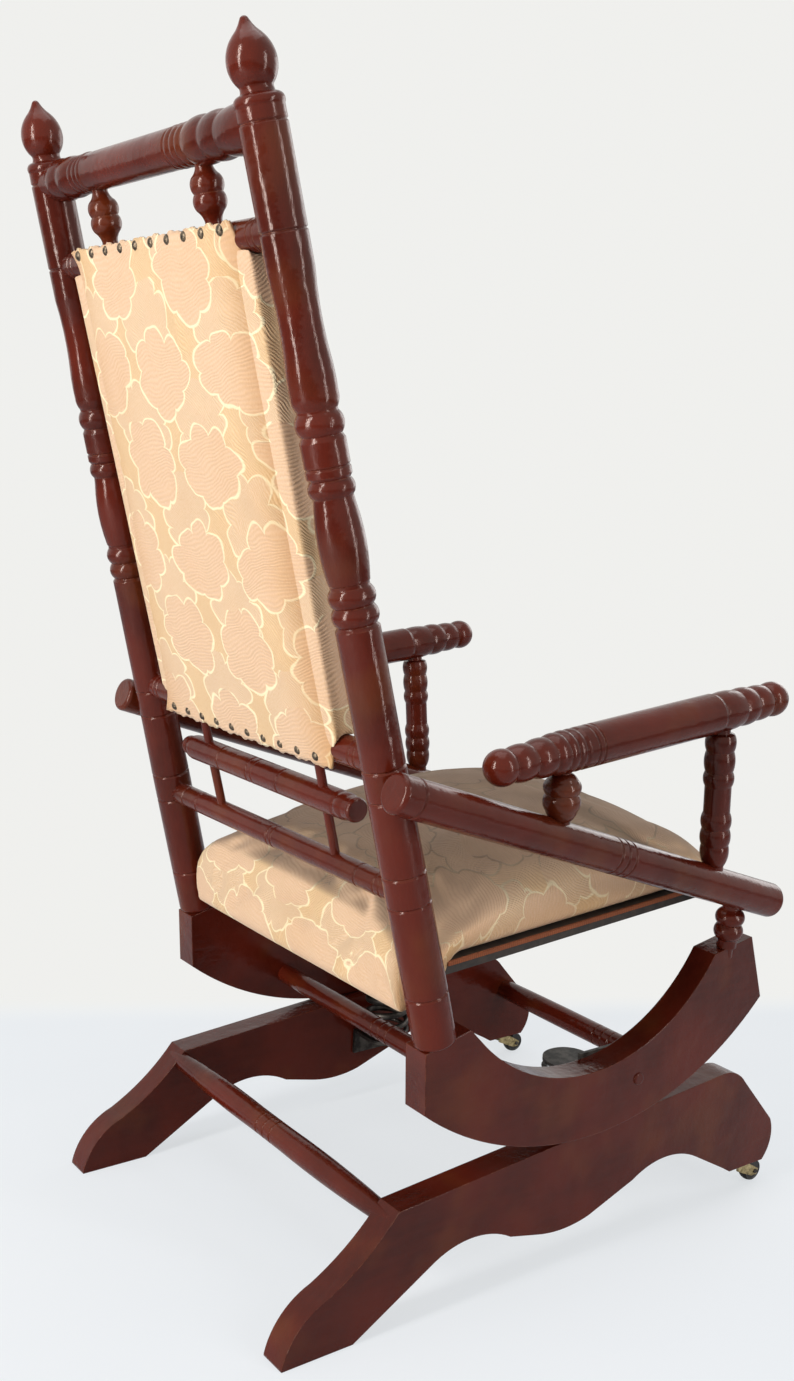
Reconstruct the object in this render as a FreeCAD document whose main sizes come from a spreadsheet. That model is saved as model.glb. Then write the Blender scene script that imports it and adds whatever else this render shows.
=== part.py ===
import FreeCAD, Part
import math
import os
import Sketcher
from FreeCAD import Placement, Rotation, Vector

os.makedirs("parts", exist_ok=True)
doc = FreeCAD.newDocument("PlatformRocker")
sheet = doc.addObject("Spreadsheet::Sheet", "Sizes")

# Driving dimensions in millimetres and degrees; depths run towards the rear from the frame's origin
dimensions = {
    # base runners
    "base_spread": 206, "base_thick": 30, "base_rear_height": 117, "base_rear_y": 168, "top_slope": 4.46,
    "toe_y": 290, "heel_y": 214, "arch_rear_height": 64, "arch_rear_y": 79, "lobe_height": 37,
    "lobe_y": -40, "arch_front_height": 76.5, "arch_front_y": -184, "nose_floor_gap": 30, "nose_y": -344,
    "rear_stretcher_radius": 8.5, "front_stretcher_radius": 12, "rear_stretcher_y": 168,
    "rear_stretcher_height": 104,
    "front_stretcher_y": -311, "front_stretcher_height": 99,
    # rockers
    "rocker_spread": 217, "rocker_thick": 30, "rocker_radius": 341, "rock_gap": 2.2, "contact_y": -85,
    "hollow_radius": 196, "hollow_y": -53.5, "hollow_height": 401.5, "block_rear_y": 156,
    "block_rear_height": 271, "block_length": 51, "front_block_y": -276, "front_block_height": 308,
    "front_block_length": 56, "rocker_front_y": -299, "rocker_rear_y": 153,
    "rocker_stretcher_radius": 10.5, "rocker_stretcher_y": 28, "rocker_stretcher_height": 180,
    # back posts
    "post_foot_x": 221, "post_foot_y": 137.5, "post_lean": 14, "post_splay": 2, "post_radius": 19.5,
    "finial_height": 62, "post_bead_radius": 20.2, "finial_radius": 19.3, "tenon_radius": 9,
    "tenon_length": 18, "line_depth": 1.2, "line_width": 3,
    # side rails, arms and their spindles
    "rail_x": 251, "rail_front_x": 243, "rail_radius": 18, "rail_rear_y": 220, "rail_above_seat": 176.4,
    "rail_front_y": -286, "rail_slope": 18.73, "arm_x": 250, "arm_radius": 19.7, "arm_rear_y": 104,
    "arm_above_rail": 48.8, "arm_length": 356, "arm_rise": 6.07, "arm_ball_radius": 16.3,
    "front_post_y": -176, "front_post_drop_y": -190, "front_bead_radius": 15.3, "front_shaft_radius": 13.2,
    "rear_spindle_y": 31, "rear_spindle_radius": 17, "lower_spindle_radius": 15.2,
    "lower_spindle_x": 226, "lower_spindle_y": -243,
    # back frame, measured up the leaning posts from their feet
    "crest_above_pad": 76, "crest_radius": 16.7, "crest_ring_radius": 18.6, "pad_rail_radius": 13.4,
    "upper_pad_height": 700, "lower_pad_height": 270, "back_rail_height": 145, "back_rail_radius": 11.5,
    "free_spindle_height": 212, "free_spindle_radius": 13, "free_spindle_length": 318,
    "dowel_radius": 4.5, "dowel_x": 106, "crest_spindle_x": 96, "crest_spindle_radius": 14,
    # upholstery
    "cover_top_half": 144, "cover_foot_half": 151, "cover_thick": 4, "pad_thick": 26, "pad_crown": 14,
    "pad_half": 162, "tack_radius": 4.6, "tack_pitch": 29.3, "tack_count": 10, "seat_height": 345.1,
    "seat_rise": 4.08, "seat_rear_y": 152, "seat_front_y": -286, "seat_half": 194, "seat_edge_thick": 51,
    "seat_crown": 22, "seat_cloth": 4, "seat_frame_thick": 13, "seat_frame_width": 45, "rear_bar_depth": 31,
    "webbing_thick": 2, "welt_width": 3, "welt_height": 4, "seat_dowel_radius": 5, "cloth_gap": 0.3,
    # platform springs
    "spring_x": 158, "spring_y": -92, "spring_foot": 94, "spring_height": 87, "spring_radius": 24,
    "wire_radius": 3.2, "spring_turns": 6, "clip_thick": 4, "clip_width": 52, "clip_flange": 30,
    "plug_radius": 6.5, "plug_y": -120, "plug_height": 184,
    # casters
    "caster_y": -318, "wheel_radius": 13, "wheel_width": 11, "caster_trail": 25, "fork_thick": 2.2,
    "fork_gap": 0.5, "axle_radius": 2.5, "running_gap": 0.05, "stem_radius": 4, "stem_length": 26,
    "socket_radius": 6, "flange_radius": 11, "flange_thick": 1.5,
}
for row, (alias, number) in enumerate(dimensions.items(), start=1):
    sheet.set(f"A{row}", alias)
    sheet.set(f"B{row}", str(number))
    sheet.setAlias(f"B{row}", alias)
doc.recompute()


class Size:
    """A length or number that carries both its value and the formula that the document keeps."""

    def __init__(self, value, text):
        self.value = float(value)
        self.text = text

    def __add__(self, other):
        other = as_size(other)
        return Size(self.value + other.value, f"({self.text} + {other.text})")

    def __sub__(self, other):
        other = as_size(other)
        return Size(self.value - other.value, f"({self.text} - {other.text})")

    def __mul__(self, other):
        other = as_size(other)
        return Size(self.value * other.value, f"({self.text} * {other.text})")

    def __truediv__(self, other):
        other = as_size(other)
        return Size(self.value / other.value, f"({self.text} / {other.text})")

    def __neg__(self):
        return Size(-self.value, f"(0 - {self.text})")

    __radd__ = __add__

    def __rsub__(self, other):
        return as_size(other) - self

    __rmul__ = __mul__


def as_size(number):
    return number if isinstance(number, Size) else Size(number, repr(float(number)))


def cell(alias):
    return Size(sheet.get(alias), f"Sizes.{alias}")


def tangent(angle):
    return Size(math.tan(math.radians(angle.value)), f"tan({angle.text} * 1 deg)")


def bind(feature, name, size):
    feature.setExpression(name, size.text)


def origin_plane(body, role):
    for feature in body.Origin.OriginFeatures:
        if feature.Role == role:
            return feature


def arc_through(start, end, bulge):
    """The arc from start to end whose middle stands off the chord by bulge, to the right if positive."""
    chord = end - start
    half = chord.Length / 2
    side = Vector(chord.y, -chord.x, 0).normalize()
    middle = (start + end) / 2 + side * bulge
    radius = (half ** 2 + bulge ** 2) / (2 * abs(bulge))
    return (Part.Arc(start, middle, end) if bulge > 0 else Part.Arc(end, middle, start)), radius


def draw(body, name, plane, start, steps, offset=None):
    """A closed outline in a sketch; a step is ("line", u, v) or ("arc", u, v, bulge)."""
    sketch = body.newObject("Sketcher::SketchObject", name)
    sketch.AttachmentSupport = [(origin_plane(body, plane), "")]
    sketch.MapMode = "FlatFace"
    if offset is not None:
        bind(sketch, "AttachmentOffset.Base.z", offset)
    geometry = []
    corners = [tuple(as_size(number) for number in start)]
    for step in steps:
        corners.append((as_size(step[1]), as_size(step[2])))
    points = [Vector(u.value, v.value, 0) for u, v in corners]
    radii = {}
    for index, step in enumerate(steps):
        if step[0] == "line":
            geometry.append(Part.LineSegment(points[index], points[index + 1]))
        else:
            arc, radius = arc_through(points[index], points[index + 1], float(step[3]))
            geometry.append(arc)
            radii[index] = radius
    if (points[-1] - points[0]).Length > 1e-6:
        geometry.append(Part.LineSegment(points[-1], points[0]))
    sketch.addGeometry(geometry, False)
    pin_outline(sketch, geometry, corners, points, radii)
    return sketch


def pin_outline(sketch, geometry, corners, points, radii):
    """Every corner at its formula from the sketch's origin, every arc at its radius."""
    ends = []
    for shape, start in zip(geometry, points):
        ends.append((1, 2) if (shape.StartPoint - start).Length < 1e-6 else (2, 1))
    constraints = []
    for index in range(len(geometry)):
        following = (index + 1) % len(geometry)
        joined = (index, ends[index][1], following, ends[following][0])
        constraints.append(Sketcher.Constraint("Coincident", *joined))
    formulas = {}
    for index, (u, v) in enumerate(corners[:len(geometry)]):
        for kind, size in (("DistanceX", u), ("DistanceY", v)):
            constraints.append(Sketcher.Constraint(kind, -1, 1, index, ends[index][0], size.value))
            if "Sizes" in size.text:
                formulas[len(constraints) - 1] = size
    for index, radius in radii.items():
        constraints.append(Sketcher.Constraint("Radius", index, radius))
    sketch.addConstraint(constraints)
    for number, size in formulas.items():
        sketch.setExpression(f"Constraints[{number}]", size.text)


def turned(label, profile, placement=Placement()):
    """A piece turned in a lathe: profile is (radius, height) steps up its axis, from and to the axis."""
    body = doc.addObject("PartDesign::Body", label)
    body.Label = label
    sketch = draw(body, label + "_profile", "XZ_Plane", profile[0], profile[1:])
    revolution = body.newObject("PartDesign::Revolution", label + "_turning")
    revolution.Profile = sketch
    revolution.ReferenceAxis = (sketch, ["V_Axis"])
    revolution.Angle = 360
    body.Placement = placement
    return body


def board(label, start, steps, thick, placement):
    """A board sawn to an outline in the depth-height plane, its thickness shared by both sides."""
    body = doc.addObject("PartDesign::Body", label)
    body.Label = label
    sketch = draw(body, label + "_outline", "YZ_Plane", start, steps)
    pad = body.newObject("PartDesign::Pad", label + "_pad")
    pad.Profile = sketch
    pad.Midplane = True
    bind(pad, "Length", thick)
    body.Placement = placement
    return body


def up_to(radius, height):
    return ("line", radius, height)


def bead(radius, height, rise):
    return ("arc", radius, height, as_size(rise).value)


def cove(radius, height, depth):
    return ("arc", radius, height, -as_size(depth).value)


def dome(radius, from_height, to_height):
    """A round end between a turned piece's axis and a radius, part of a ball centred on the axis."""
    radius = as_size(radius)
    rise = abs(as_size(to_height).value - as_size(from_height).value)
    ball_radius = (radius.value ** 2 + rise ** 2) / (2 * rise)
    return ball_radius * (1 - math.cos(math.atan2(rise, radius.value)))


def dome_end(radius, from_height, to_height):
    return ("arc", 0, to_height, dome(radius, from_height, to_height))


def dome_start(radius, from_height, to_height):
    return ("arc", radius, to_height, dome(radius, from_height, to_height))


def scored_line(radius, height):
    """A fine groove cut round a turned piece."""
    half = cell("line_width") / 2
    depth = cell("line_depth")
    return [up_to(radius, height - half), up_to(radius - depth, height), up_to(radius, height + half)]


def scored_lines(radius, heights):
    steps = []
    for height in heights:
        steps += scored_line(radius, height)
    return steps


def between(start, end):
    """The placement that stands a turned piece on start, its axis towards end."""
    return Placement(start, Rotation(Vector(0, 0, 1), end - start))


sides = {"left": 1, "right": -1}
slope = tangent(cell("top_slope"))
lean = cell("post_lean").value
lean_tangent = tangent(cell("post_lean"))

# Base runners: flat toe behind, two arches and a lobe below, a rounded nose over each caster
top_rear_y = cell("base_rear_y")
top_rear_height = cell("base_rear_height")
toe_y = cell("toe_y")
heel_y = cell("heel_y")
arch_rear_y = cell("arch_rear_y")
arch_rear_height = cell("arch_rear_height")
lobe_y = cell("lobe_y")
lobe_height = cell("lobe_height")
arch_front_y = cell("arch_front_y")
arch_front_height = cell("arch_front_height")
nose_y = cell("nose_y")
nose_gap = cell("nose_floor_gap")
top_front_y = nose_y + 82
top_front_height = top_rear_height + (top_rear_y - top_front_y) * slope
runner_steps = [
    ("line", heel_y, 0),
    ("line", arch_rear_y + 49, arch_rear_height - 14),
    ("arc", arch_rear_y - 49, arch_rear_height - 14, 14),
    ("line", lobe_y + 35, lobe_height + 4.5),
    ("arc", lobe_y - 35, lobe_height + 4.5, -4.5),
    ("line", arch_front_y + 48, arch_front_height - 13),
    ("arc", arch_front_y - 48, arch_front_height - 13, 13),
    ("line", nose_y + 67, nose_gap + 8),
    ("line", nose_y + 54, nose_gap),
    ("line", nose_y, nose_gap),
    ("arc", nose_y - 8, nose_gap + 48, -8),
    ("line", nose_y + 42, top_front_height - 17),
    ("arc", top_front_y, top_front_height, -6),
    ("line", top_rear_y, top_rear_height),
    ("arc", toe_y - 47, 55, 5),
    ("arc", toe_y, 2, -9),
]
for side, sign in sides.items():
    place = Placement(Vector(sign * cell("base_spread").value, 0, 0), Rotation())
    board(f"{side}_base_runner", (toe_y, 0), runner_steps, cell("base_thick"), place)


def stretcher(label, half, radius, swell, lines, y, height):
    """A turned bar across the chair, thicker at its middle, with its scored lines about the middle."""
    length = half * 2
    steps = [(0, 0), up_to(radius, 0), ("arc", radius + swell, half - lines, swell.value / 2)]
    steps += scored_lines(radius + swell, [half - lines / 2, half, half + lines / 2])
    steps += [up_to(radius + swell, half + lines), ("arc", radius, length, swell.value / 2), up_to(0, length)]
    place = between(Vector(-half.value, y, height), Vector(half.value, y, height))
    return turned(label, steps, place)


runner_inner = cell("base_spread") - cell("base_thick") / 2
stretcher("rear_base_stretcher", runner_inner + 20, cell("rear_stretcher_radius"), as_size(4), as_size(26),
          cell("rear_stretcher_y").value, cell("rear_stretcher_height").value)
stretcher("front_base_stretcher", runner_inner + 12, cell("front_stretcher_radius"), as_size(1), as_size(26),
          cell("front_stretcher_y").value, cell("front_stretcher_height").value)

# Rockers: a round lower edge over the runners, a hollow upper edge between two flat-topped blocks
contact_y = cell("contact_y")
contact_height = top_rear_height + (top_rear_y - contact_y) * slope
tilt = math.radians(cell("top_slope").value)
rocker_radius = cell("rocker_radius").value
centre_distance = rocker_radius + cell("rock_gap").value
rocker_centre = Vector(0, contact_y.value + centre_distance * math.sin(tilt),
                       contact_height.value + centre_distance * math.cos(tilt))


def below_centre(y):
    """Height of the rocker's round lower edge at a depth."""
    return rocker_centre.z - math.sqrt(rocker_radius ** 2 - (y - rocker_centre.y) ** 2)


def hollow_edge(y):
    """Height of the rocker's hollow upper edge at a depth."""
    offset = y - cell("hollow_y").value
    return cell("hollow_height").value - math.sqrt(cell("hollow_radius").value ** 2 - offset ** 2)


def rise_of(radius, start, end):
    """How far an arc of this radius stands off the chord between two points."""
    half = math.dist(start, end) / 2
    return radius - math.sqrt(radius ** 2 - half ** 2)


block_front_y = cell("block_rear_y") - cell("block_length")
block_front_height = cell("block_rear_height") + cell("block_length") * lean_tangent
hollow_rear_y = block_front_y - 13
front_block_rear_y = cell("front_block_y") + cell("front_block_length")
rear_low = (cell("rocker_rear_y").value, below_centre(cell("rocker_rear_y").value))
front_low = (cell("rocker_front_y").value, below_centre(cell("rocker_front_y").value))
hollow_rear = (hollow_rear_y.value, hollow_edge(hollow_rear_y.value))
hollow_front = (front_block_rear_y.value, hollow_edge(front_block_rear_y.value))
rocker_steps = [
    ("arc", cell("rocker_front_y"), front_low[1], -rise_of(rocker_radius, rear_low, front_low)),
    ("line", cell("front_block_y"), cell("front_block_height")),
    ("line", front_block_rear_y, hollow_front[1]),
    ("arc", hollow_rear_y, hollow_rear[1], rise_of(cell("hollow_radius").value, hollow_rear, hollow_front)),
    ("line", block_front_y, block_front_height),
    ("line", cell("block_rear_y"), cell("block_rear_height")),
]
for side, sign in sides.items():
    place = Placement(Vector(sign * cell("rocker_spread").value, 0, 0), Rotation())
    board(f"{side}_rocker", (cell("rocker_rear_y"), rear_low[1]), rocker_steps, cell("rocker_thick"), place)
stretcher("rear_rocker_stretcher", cell("rocker_spread") - cell("rocker_thick") / 4,
          cell("rocker_stretcher_radius"), as_size(0.8), as_size(26),
          cell("rocker_stretcher_y").value, cell("rocker_stretcher_height").value)

# Back posts, turned, leaning back and a little together, each on its rocker's rear block
post_radius = cell("post_radius")
valley = post_radius - 2.7
rise = cell("post_bead_radius") - valley
tenon = cell("tenon_radius")
tenon_length = cell("tenon_length")
finial = cell("finial_radius")
crest_height = cell("upper_pad_height") + cell("crest_above_pad")
shoulder = crest_height + 12
post_top = shoulder + cell("finial_height")
post_profile = [(0, -tenon_length), up_to(tenon, -tenon_length), up_to(tenon, 0), up_to(post_radius - 1.5, 0),
                bead(post_radius + 0.6, 4, 0.6)]
post_profile += scored_lines(post_radius + 0.6, [50, 139, 168])
post_profile += scored_lines(post_radius, [238, 266])
post_profile += [up_to(post_radius - 0.3, 388), up_to(valley, 391), bead(valley, 407, rise),
                 bead(valley, 423, rise), up_to(valley, 426), up_to(valley + 0.8, 427),
                 bead(valley + 0.6, 491, 2.7), up_to(valley, 497), bead(valley, 511, rise - 0.6),
                 up_to(post_radius - 0.6, 514)]
post_profile += scored_line(post_radius - 0.6, 521)
post_profile += [up_to(post_radius - 0.6, 542), up_to(valley, 546), bead(valley, 564, rise)]
waist_low = as_size(578)
waist_span = cell("upper_pad_height") - waist_low
post_profile += [up_to(valley, 566), bead(post_radius, waist_low, 1),
                 bead(post_radius - 0.3, waist_low + waist_span * 0.18, 0.3),
                 cove(post_radius - 0.4, waist_low + waist_span * 0.77, 1.9),
                 up_to(post_radius - 0.4, waist_low + waist_span * 0.92)]
post_profile += scored_lines(post_radius - 0.4, [cell("upper_pad_height"), crest_height + 1])
post_profile += [up_to(post_radius - 0.6, shoulder), bead(13.8, shoulder + 9, 3), cove(13, shoulder + 14, 0.5),
                 bead(finial, shoulder + 30, 1.6), bead(11.1, post_top - 12.4, 2.1),
                 cove(3.5, post_top - 2.5, 0.7), dome_end(3.5, post_top - 2.5, post_top)]
foot_height = cell("block_rear_height").value
foot_height += (cell("block_rear_y").value - cell("post_foot_y").value) * lean_tangent.value
splay = math.radians(cell("post_splay").value)


def post_point(sign, height):
    """A point on a back post's axis, this far up from its foot."""
    back = math.radians(lean)
    return Vector(sign * (cell("post_foot_x").value - height * math.sin(splay)),
                  cell("post_foot_y").value + height * math.cos(splay) * math.sin(back),
                  foot_height + height * math.cos(splay) * math.cos(back))


def back_point(x, height, out=0):
    """A point in the back's leaning plane, out towards the rear if positive."""
    back = math.radians(lean)
    return Vector(x, cell("post_foot_y").value + height * math.sin(back) + out * math.cos(back),
                  foot_height + height * math.cos(back) - out * math.sin(back))


for side, sign in sides.items():
    turned(f"{side}_back_post", post_profile, between(post_point(sign, 0), post_point(sign, 100)))

# Side rails, round, passing outside the posts and sloping down to the front
rail_slope = math.radians(cell("rail_slope").value)
rail_radius = cell("rail_radius")
rail_drop = math.tan(rail_slope)
rail_rear_height = cell("seat_height").value + cell("rail_above_seat").value


def rail_point(sign, y):
    """A point on a side rail's axis at a depth."""
    share = (cell("rail_rear_y").value - y) / (cell("rail_rear_y").value - cell("rail_front_y").value)
    x = cell("rail_x").value + (cell("rail_front_x").value - cell("rail_x").value) * share
    return Vector(sign * x, y, rail_rear_height - (cell("rail_rear_y").value - y) * rail_drop)


rail_ends = [rail_point(1, cell("rail_rear_y").value), rail_point(1, cell("rail_front_y").value)]
rail_length = (rail_ends[1] - rail_ends[0]).Length
rail_profile = [(0, 0), up_to(rail_radius - 3.5, 0), bead(rail_radius, 4, 0.8)]
rail_profile += scored_lines(rail_radius, [22, 273, 283, 293])
rail_profile += [up_to(rail_radius, rail_length - 4), bead(rail_radius - 3.5, rail_length, 0.8),
                 up_to(0, rail_length)]
for side, sign in sides.items():
    place = between(rail_point(sign, cell("rail_rear_y").value), rail_point(sign, cell("rail_front_y").value))
    turned(f"{side}_side_rail", rail_profile, place)

# Arms: a ball and beads at both ends, five small rings behind, a plain grip between
arm_radius = cell("arm_radius")
arm_rise = math.radians(cell("arm_rise").value)
ball = cell("arm_ball_radius")
arm_length = cell("arm_length")
arm_rear_height = rail_point(1, cell("arm_rear_y").value).z + cell("arm_above_rail").value
arm_profile = [(0, -ball), dome_start(ball - 1.7, -ball, 9), bead(ball - 0.9, 32, 2.2), bead(ball + 0.7, 53, 2)]
for height, width in ((67, 1.7), (77, 1.4), (86, 1.2)):
    arm_profile.append(bead(arm_radius - 1.2, height, width))
arm_profile += [up_to(arm_radius, 89)]
arm_profile += scored_lines(arm_radius, [100, 107])
arm_profile += [up_to(arm_radius + 0.3, arm_length - 90), up_to(arm_radius - 1.2, arm_length - 86),
                bead(arm_radius - 1.9, arm_length - 56, 1.6), bead(ball + 0.1, arm_length - 35, 1.9),
                bead(ball - 1.5, arm_length - 13, 2), dome_end(ball - 1.5, arm_length - 13, arm_length + 14)]


def arm_point(sign, y):
    """A point on an arm's axis at a depth."""
    forward = cell("arm_rear_y").value - y
    return Vector(sign * cell("arm_x").value, y, arm_rear_height + forward * math.tan(arm_rise))


for side, sign in sides.items():
    place = between(arm_point(sign, cell("arm_rear_y").value), arm_point(sign, cell("arm_rear_y").value - 100))
    turned(f"{side}_arm", arm_profile, place)

# Front arm posts, two triple beads round a plain shaft, from side rail to arm
shaft = cell("front_shaft_radius")
waist = shaft + 0.4
bead_rise = cell("front_bead_radius") - waist


def front_post_profile(span):
    """Tenons at both ends of the span, and each bead at its share of it."""
    steps = [(0, 8), up_to(10, 8), up_to(10, span * 0.112), bead(waist, span * 0.235, bead_rise + 0.6)]
    for share in (0.33, 0.419):
        steps.append(bead(waist, span * share, bead_rise))
    steps += [up_to(shaft, span * 0.425), up_to(shaft, span * 0.575), up_to(waist, span * 0.581)]
    for share in (0.66, 0.777, 0.872):
        steps.append(bead(waist, span * share, bead_rise))
    return steps + [up_to(9, span * 0.88), up_to(9, span - 9), up_to(0, span - 9)]


for side, sign in sides.items():
    foot = rail_point(sign, cell("front_post_drop_y").value)
    head = arm_point(sign, cell("front_post_y").value)
    turned(f"{side}_front_post", front_post_profile((head - foot).Length), between(foot, head))

# Short spindles: arm to side rail behind, side rail to rocker in front
knob = cell("rear_spindle_radius")


def arm_spindle_profile(span):
    return [(0, 10), up_to(8, 10), up_to(9, span * 0.225), bead(15, span * 0.345, 0.8),
            bead(15.2, span * 0.53, knob - 14.6), bead(14.2, span * 0.69, knob - 14.2),
            bead(7.5, span * 0.765, 1), up_to(7.5, span - 10), up_to(0, span - 10)]


for side, sign in sides.items():
    foot = rail_point(sign, cell("rear_spindle_y").value - 4)
    head = arm_point(sign, cell("rear_spindle_y").value)
    turned(f"{side}_arm_spindle", arm_spindle_profile((head - foot).Length), between(foot, head))
stub = cell("lower_spindle_radius")


def lower_spindle_profile(span):
    return [(0, -12), up_to(7.5, -12), up_to(7.5, 0), up_to(10.5, 0), up_to(10.5, span * 0.14),
            bead(11.5, span * 0.40, stub - 11), bead(11, span * 0.64, stub - 11.2), up_to(9, span * 0.68),
            up_to(9, span * 0.90), up_to(0, span * 0.90)]


front_top_slope = (cell("front_block_height").value - hollow_front[1]) / cell("front_block_length").value
for side, sign in sides.items():
    forward = front_block_rear_y.value - cell("lower_spindle_y").value
    foot = Vector(sign * cell("lower_spindle_x").value, cell("lower_spindle_y").value,
                  hollow_front[1] + forward * front_top_slope)
    head = rail_point(sign, cell("lower_spindle_y").value + 5)
    head.x -= sign * 11
    turned(f"{side}_lower_spindle", lower_spindle_profile((head - foot).Length), between(foot, head))


def across(label, profile, height, half):
    """A turned piece of the back, lying across it from right to left at a height up the posts."""
    return turned(label, profile, between(back_point(-half, height), back_point(half, height)))


def post_axis_x(height):
    return cell("post_foot_x").value - height * math.sin(splay)


# Crest rail with small rings and large rings towards the right post, and the rails that hold the pad
crest = cell("crest_radius")
ring = cell("crest_ring_radius")
crest_half = post_axis_x(crest_height.value) - 5
crest_profile = [(0, 0), up_to(ring - 1.4, 0)]
for step in range(3):
    crest_profile.append(bead(ring - 1.4, 42 + step * 26, 1.8))
crest_profile.append(up_to(crest - 0.8, 98))
for step in range(3):
    crest_profile.append(bead(crest - 0.8, 107 + step * 9, 1.2))
crest_profile += [up_to(crest, 127), up_to(crest, 2 * crest_half - 92)]
for step in range(3):
    crest_profile.append(bead(crest - 0.8, 2 * crest_half - 83 + step * 9, 1.2))
for step in range(2):
    crest_profile.append(bead(ring - 1.4, 2 * crest_half - 41 + step * 24, 1.8))
crest_profile += [up_to(ring - 1.4, 2 * crest_half), up_to(0, 2 * crest_half)]
across("crest_rail", crest_profile, crest_height.value, crest_half)
pad_rail = cell("pad_rail_radius")
for label, alias in (("upper_pad_rail", "upper_pad_height"), ("lower_pad_rail", "lower_pad_height")):
    half = post_axis_x(cell(alias).value) - 10
    steps = [(0, 0), up_to(pad_rail, 0)]
    steps += scored_lines(pad_rail, [16, 24, 2 * half - 24, 2 * half - 16])
    steps += [up_to(pad_rail, 2 * half), up_to(0, 2 * half)]
    across(label, steps, cell(alias).value, half)
back_rail = cell("back_rail_radius")
half = post_axis_x(cell("back_rail_height").value) - 12
back_rail_profile = [(0, 0), up_to(back_rail, 0)]
back_rail_profile += scored_lines(back_rail, [17, 26, 56, half - 4, half + 4, 2 * half - 56, 2 * half - 26])
back_rail_profile += [up_to(back_rail, 2 * half), up_to(0, 2 * half)]
across("lower_back_rail", back_rail_profile, cell("back_rail_height").value, half)

# Free spindle: a ringed bar held only by two dowels, square at its right end, domed at its left
free = cell("free_spindle_radius")
free_length = cell("free_spindle_length")
free_profile = [(0, 0), up_to(free - 3, 0), bead(free - 1.5, 5, 0.8), up_to(free - 1.5, 12),
                bead(free - 1, 24, 1.2), up_to(free, 28)]
free_profile += scored_lines(free, [120, 166, 176, 232])
free_profile += [up_to(free, free_length - 28), bead(free - 2.5, free_length - 15, 0.8),
                 up_to(free - 3.5, free_length - 13),
                 dome_end(free - 3.5, free_length - 13, free_length)]
across("free_spindle", free_profile, cell("free_spindle_height").value, free_length.value / 2)
dowel = cell("dowel_radius")
drop = cell("lower_pad_height") - cell("back_rail_height") - 16
for side, sign in sides.items():
    x = sign * cell("dowel_x").value
    place = between(back_point(x, cell("back_rail_height").value + 8), back_point(x, 600))
    turned(f"{side}_back_dowel", [(0, 0), up_to(dowel, 0), up_to(dowel, drop), up_to(0, drop)], place)
bulb = cell("crest_spindle_radius")
crest_tenon = 7.2


def crest_spindle_profile(span):
    return [(0, 8), up_to(crest_tenon, 8), up_to(crest_tenon, span * 0.21), bead(11.5, span * 0.32, -0.8),
            bead(12, span * 0.495, bulb - 11.8), bead(11.5, span * 0.67, bulb - 11.8),
            bead(crest_tenon, span * 0.765, -0.8), up_to(crest_tenon, span - 8), up_to(0, span - 8)]


for side, sign in sides.items():
    x = sign * cell("crest_spindle_x").value
    foot = back_point(x, cell("upper_pad_height").value)
    head = back_point(x, crest_height.value)
    turned(f"{side}_crest_spindle", crest_spindle_profile((head - foot).Length), between(foot, head))


def back_placement(x=0, height=0, out=0):
    """The back's leaning frame: across, out to the rear, and up the posts."""
    return Placement(back_point(x, height, out), Rotation(Vector(1, 0, 0), -lean))


def new_body(label, placement):
    body = doc.addObject("PartDesign::Body", label)
    body.Label = label
    body.Placement = placement
    return body


def pad_out(body, name, plane, start, steps, thick, offset=None, midplane=False):
    """A flat outline given a thickness, half to each side if it is midplane."""
    feature = body.newObject("PartDesign::Pad", name)
    feature.Profile = draw(body, name + "_outline", plane, start, steps, offset)
    feature.Midplane = midplane
    bind(feature, "Length", thick)
    return feature


def cut_through(body, name, plane, start, steps, length):
    """An outline cut out of a body to both sides of a plane."""
    feature = body.newObject("PartDesign::Pocket", name)
    feature.Profile = draw(body, name + "_outline", plane, start, steps)
    feature.Midplane = True
    bind(feature, "Length", length)
    return feature


def box_steps(first, second):
    """A rectangle between two opposite corners, as a start and its steps."""
    return first, [("line", second[0], first[1]), ("line", second[0], second[1]), ("line", first[0], second[1])]


def loft_across(body, outline, stations):
    """A smooth skin through the outlines at several places across the chair."""
    sections = []
    for number, (x, swell) in enumerate(stations):
        start, steps = outline(swell)
        sections.append(draw(body, f"{body.Label}_section_{number}", "YZ_Plane", start, steps, x))
    loft = body.newObject("PartDesign::AdditiveLoft", body.Label + "_form")
    loft.Profile = sections[0]
    loft.Sections = sections[1:]
    return loft


# Back: a crowned pad in front of and round the two pad rails, a flat cover tacked on behind
cloth_gap = cell("cloth_gap")
cover_front = pad_rail - 0.2
pad_low = cell("lower_pad_height") - pad_rail
pad_high = cell("upper_pad_height") + pad_rail


def pad_outline(swell):
    front = -(cell("pad_thick") + swell)
    rear = cover_front - cloth_gap
    edge = 16
    return (rear, cell("lower_pad_height")), [
        ("line", rear, cell("upper_pad_height")),
        ("line", 0, pad_high),
        ("line", front + edge, pad_high),
        ("arc", front, pad_high - edge - 14, -6),
        ("line", front, pad_low + edge + 14),
        ("arc", front + edge, pad_low, -6),
        ("line", 0, pad_low),
    ]


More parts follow.
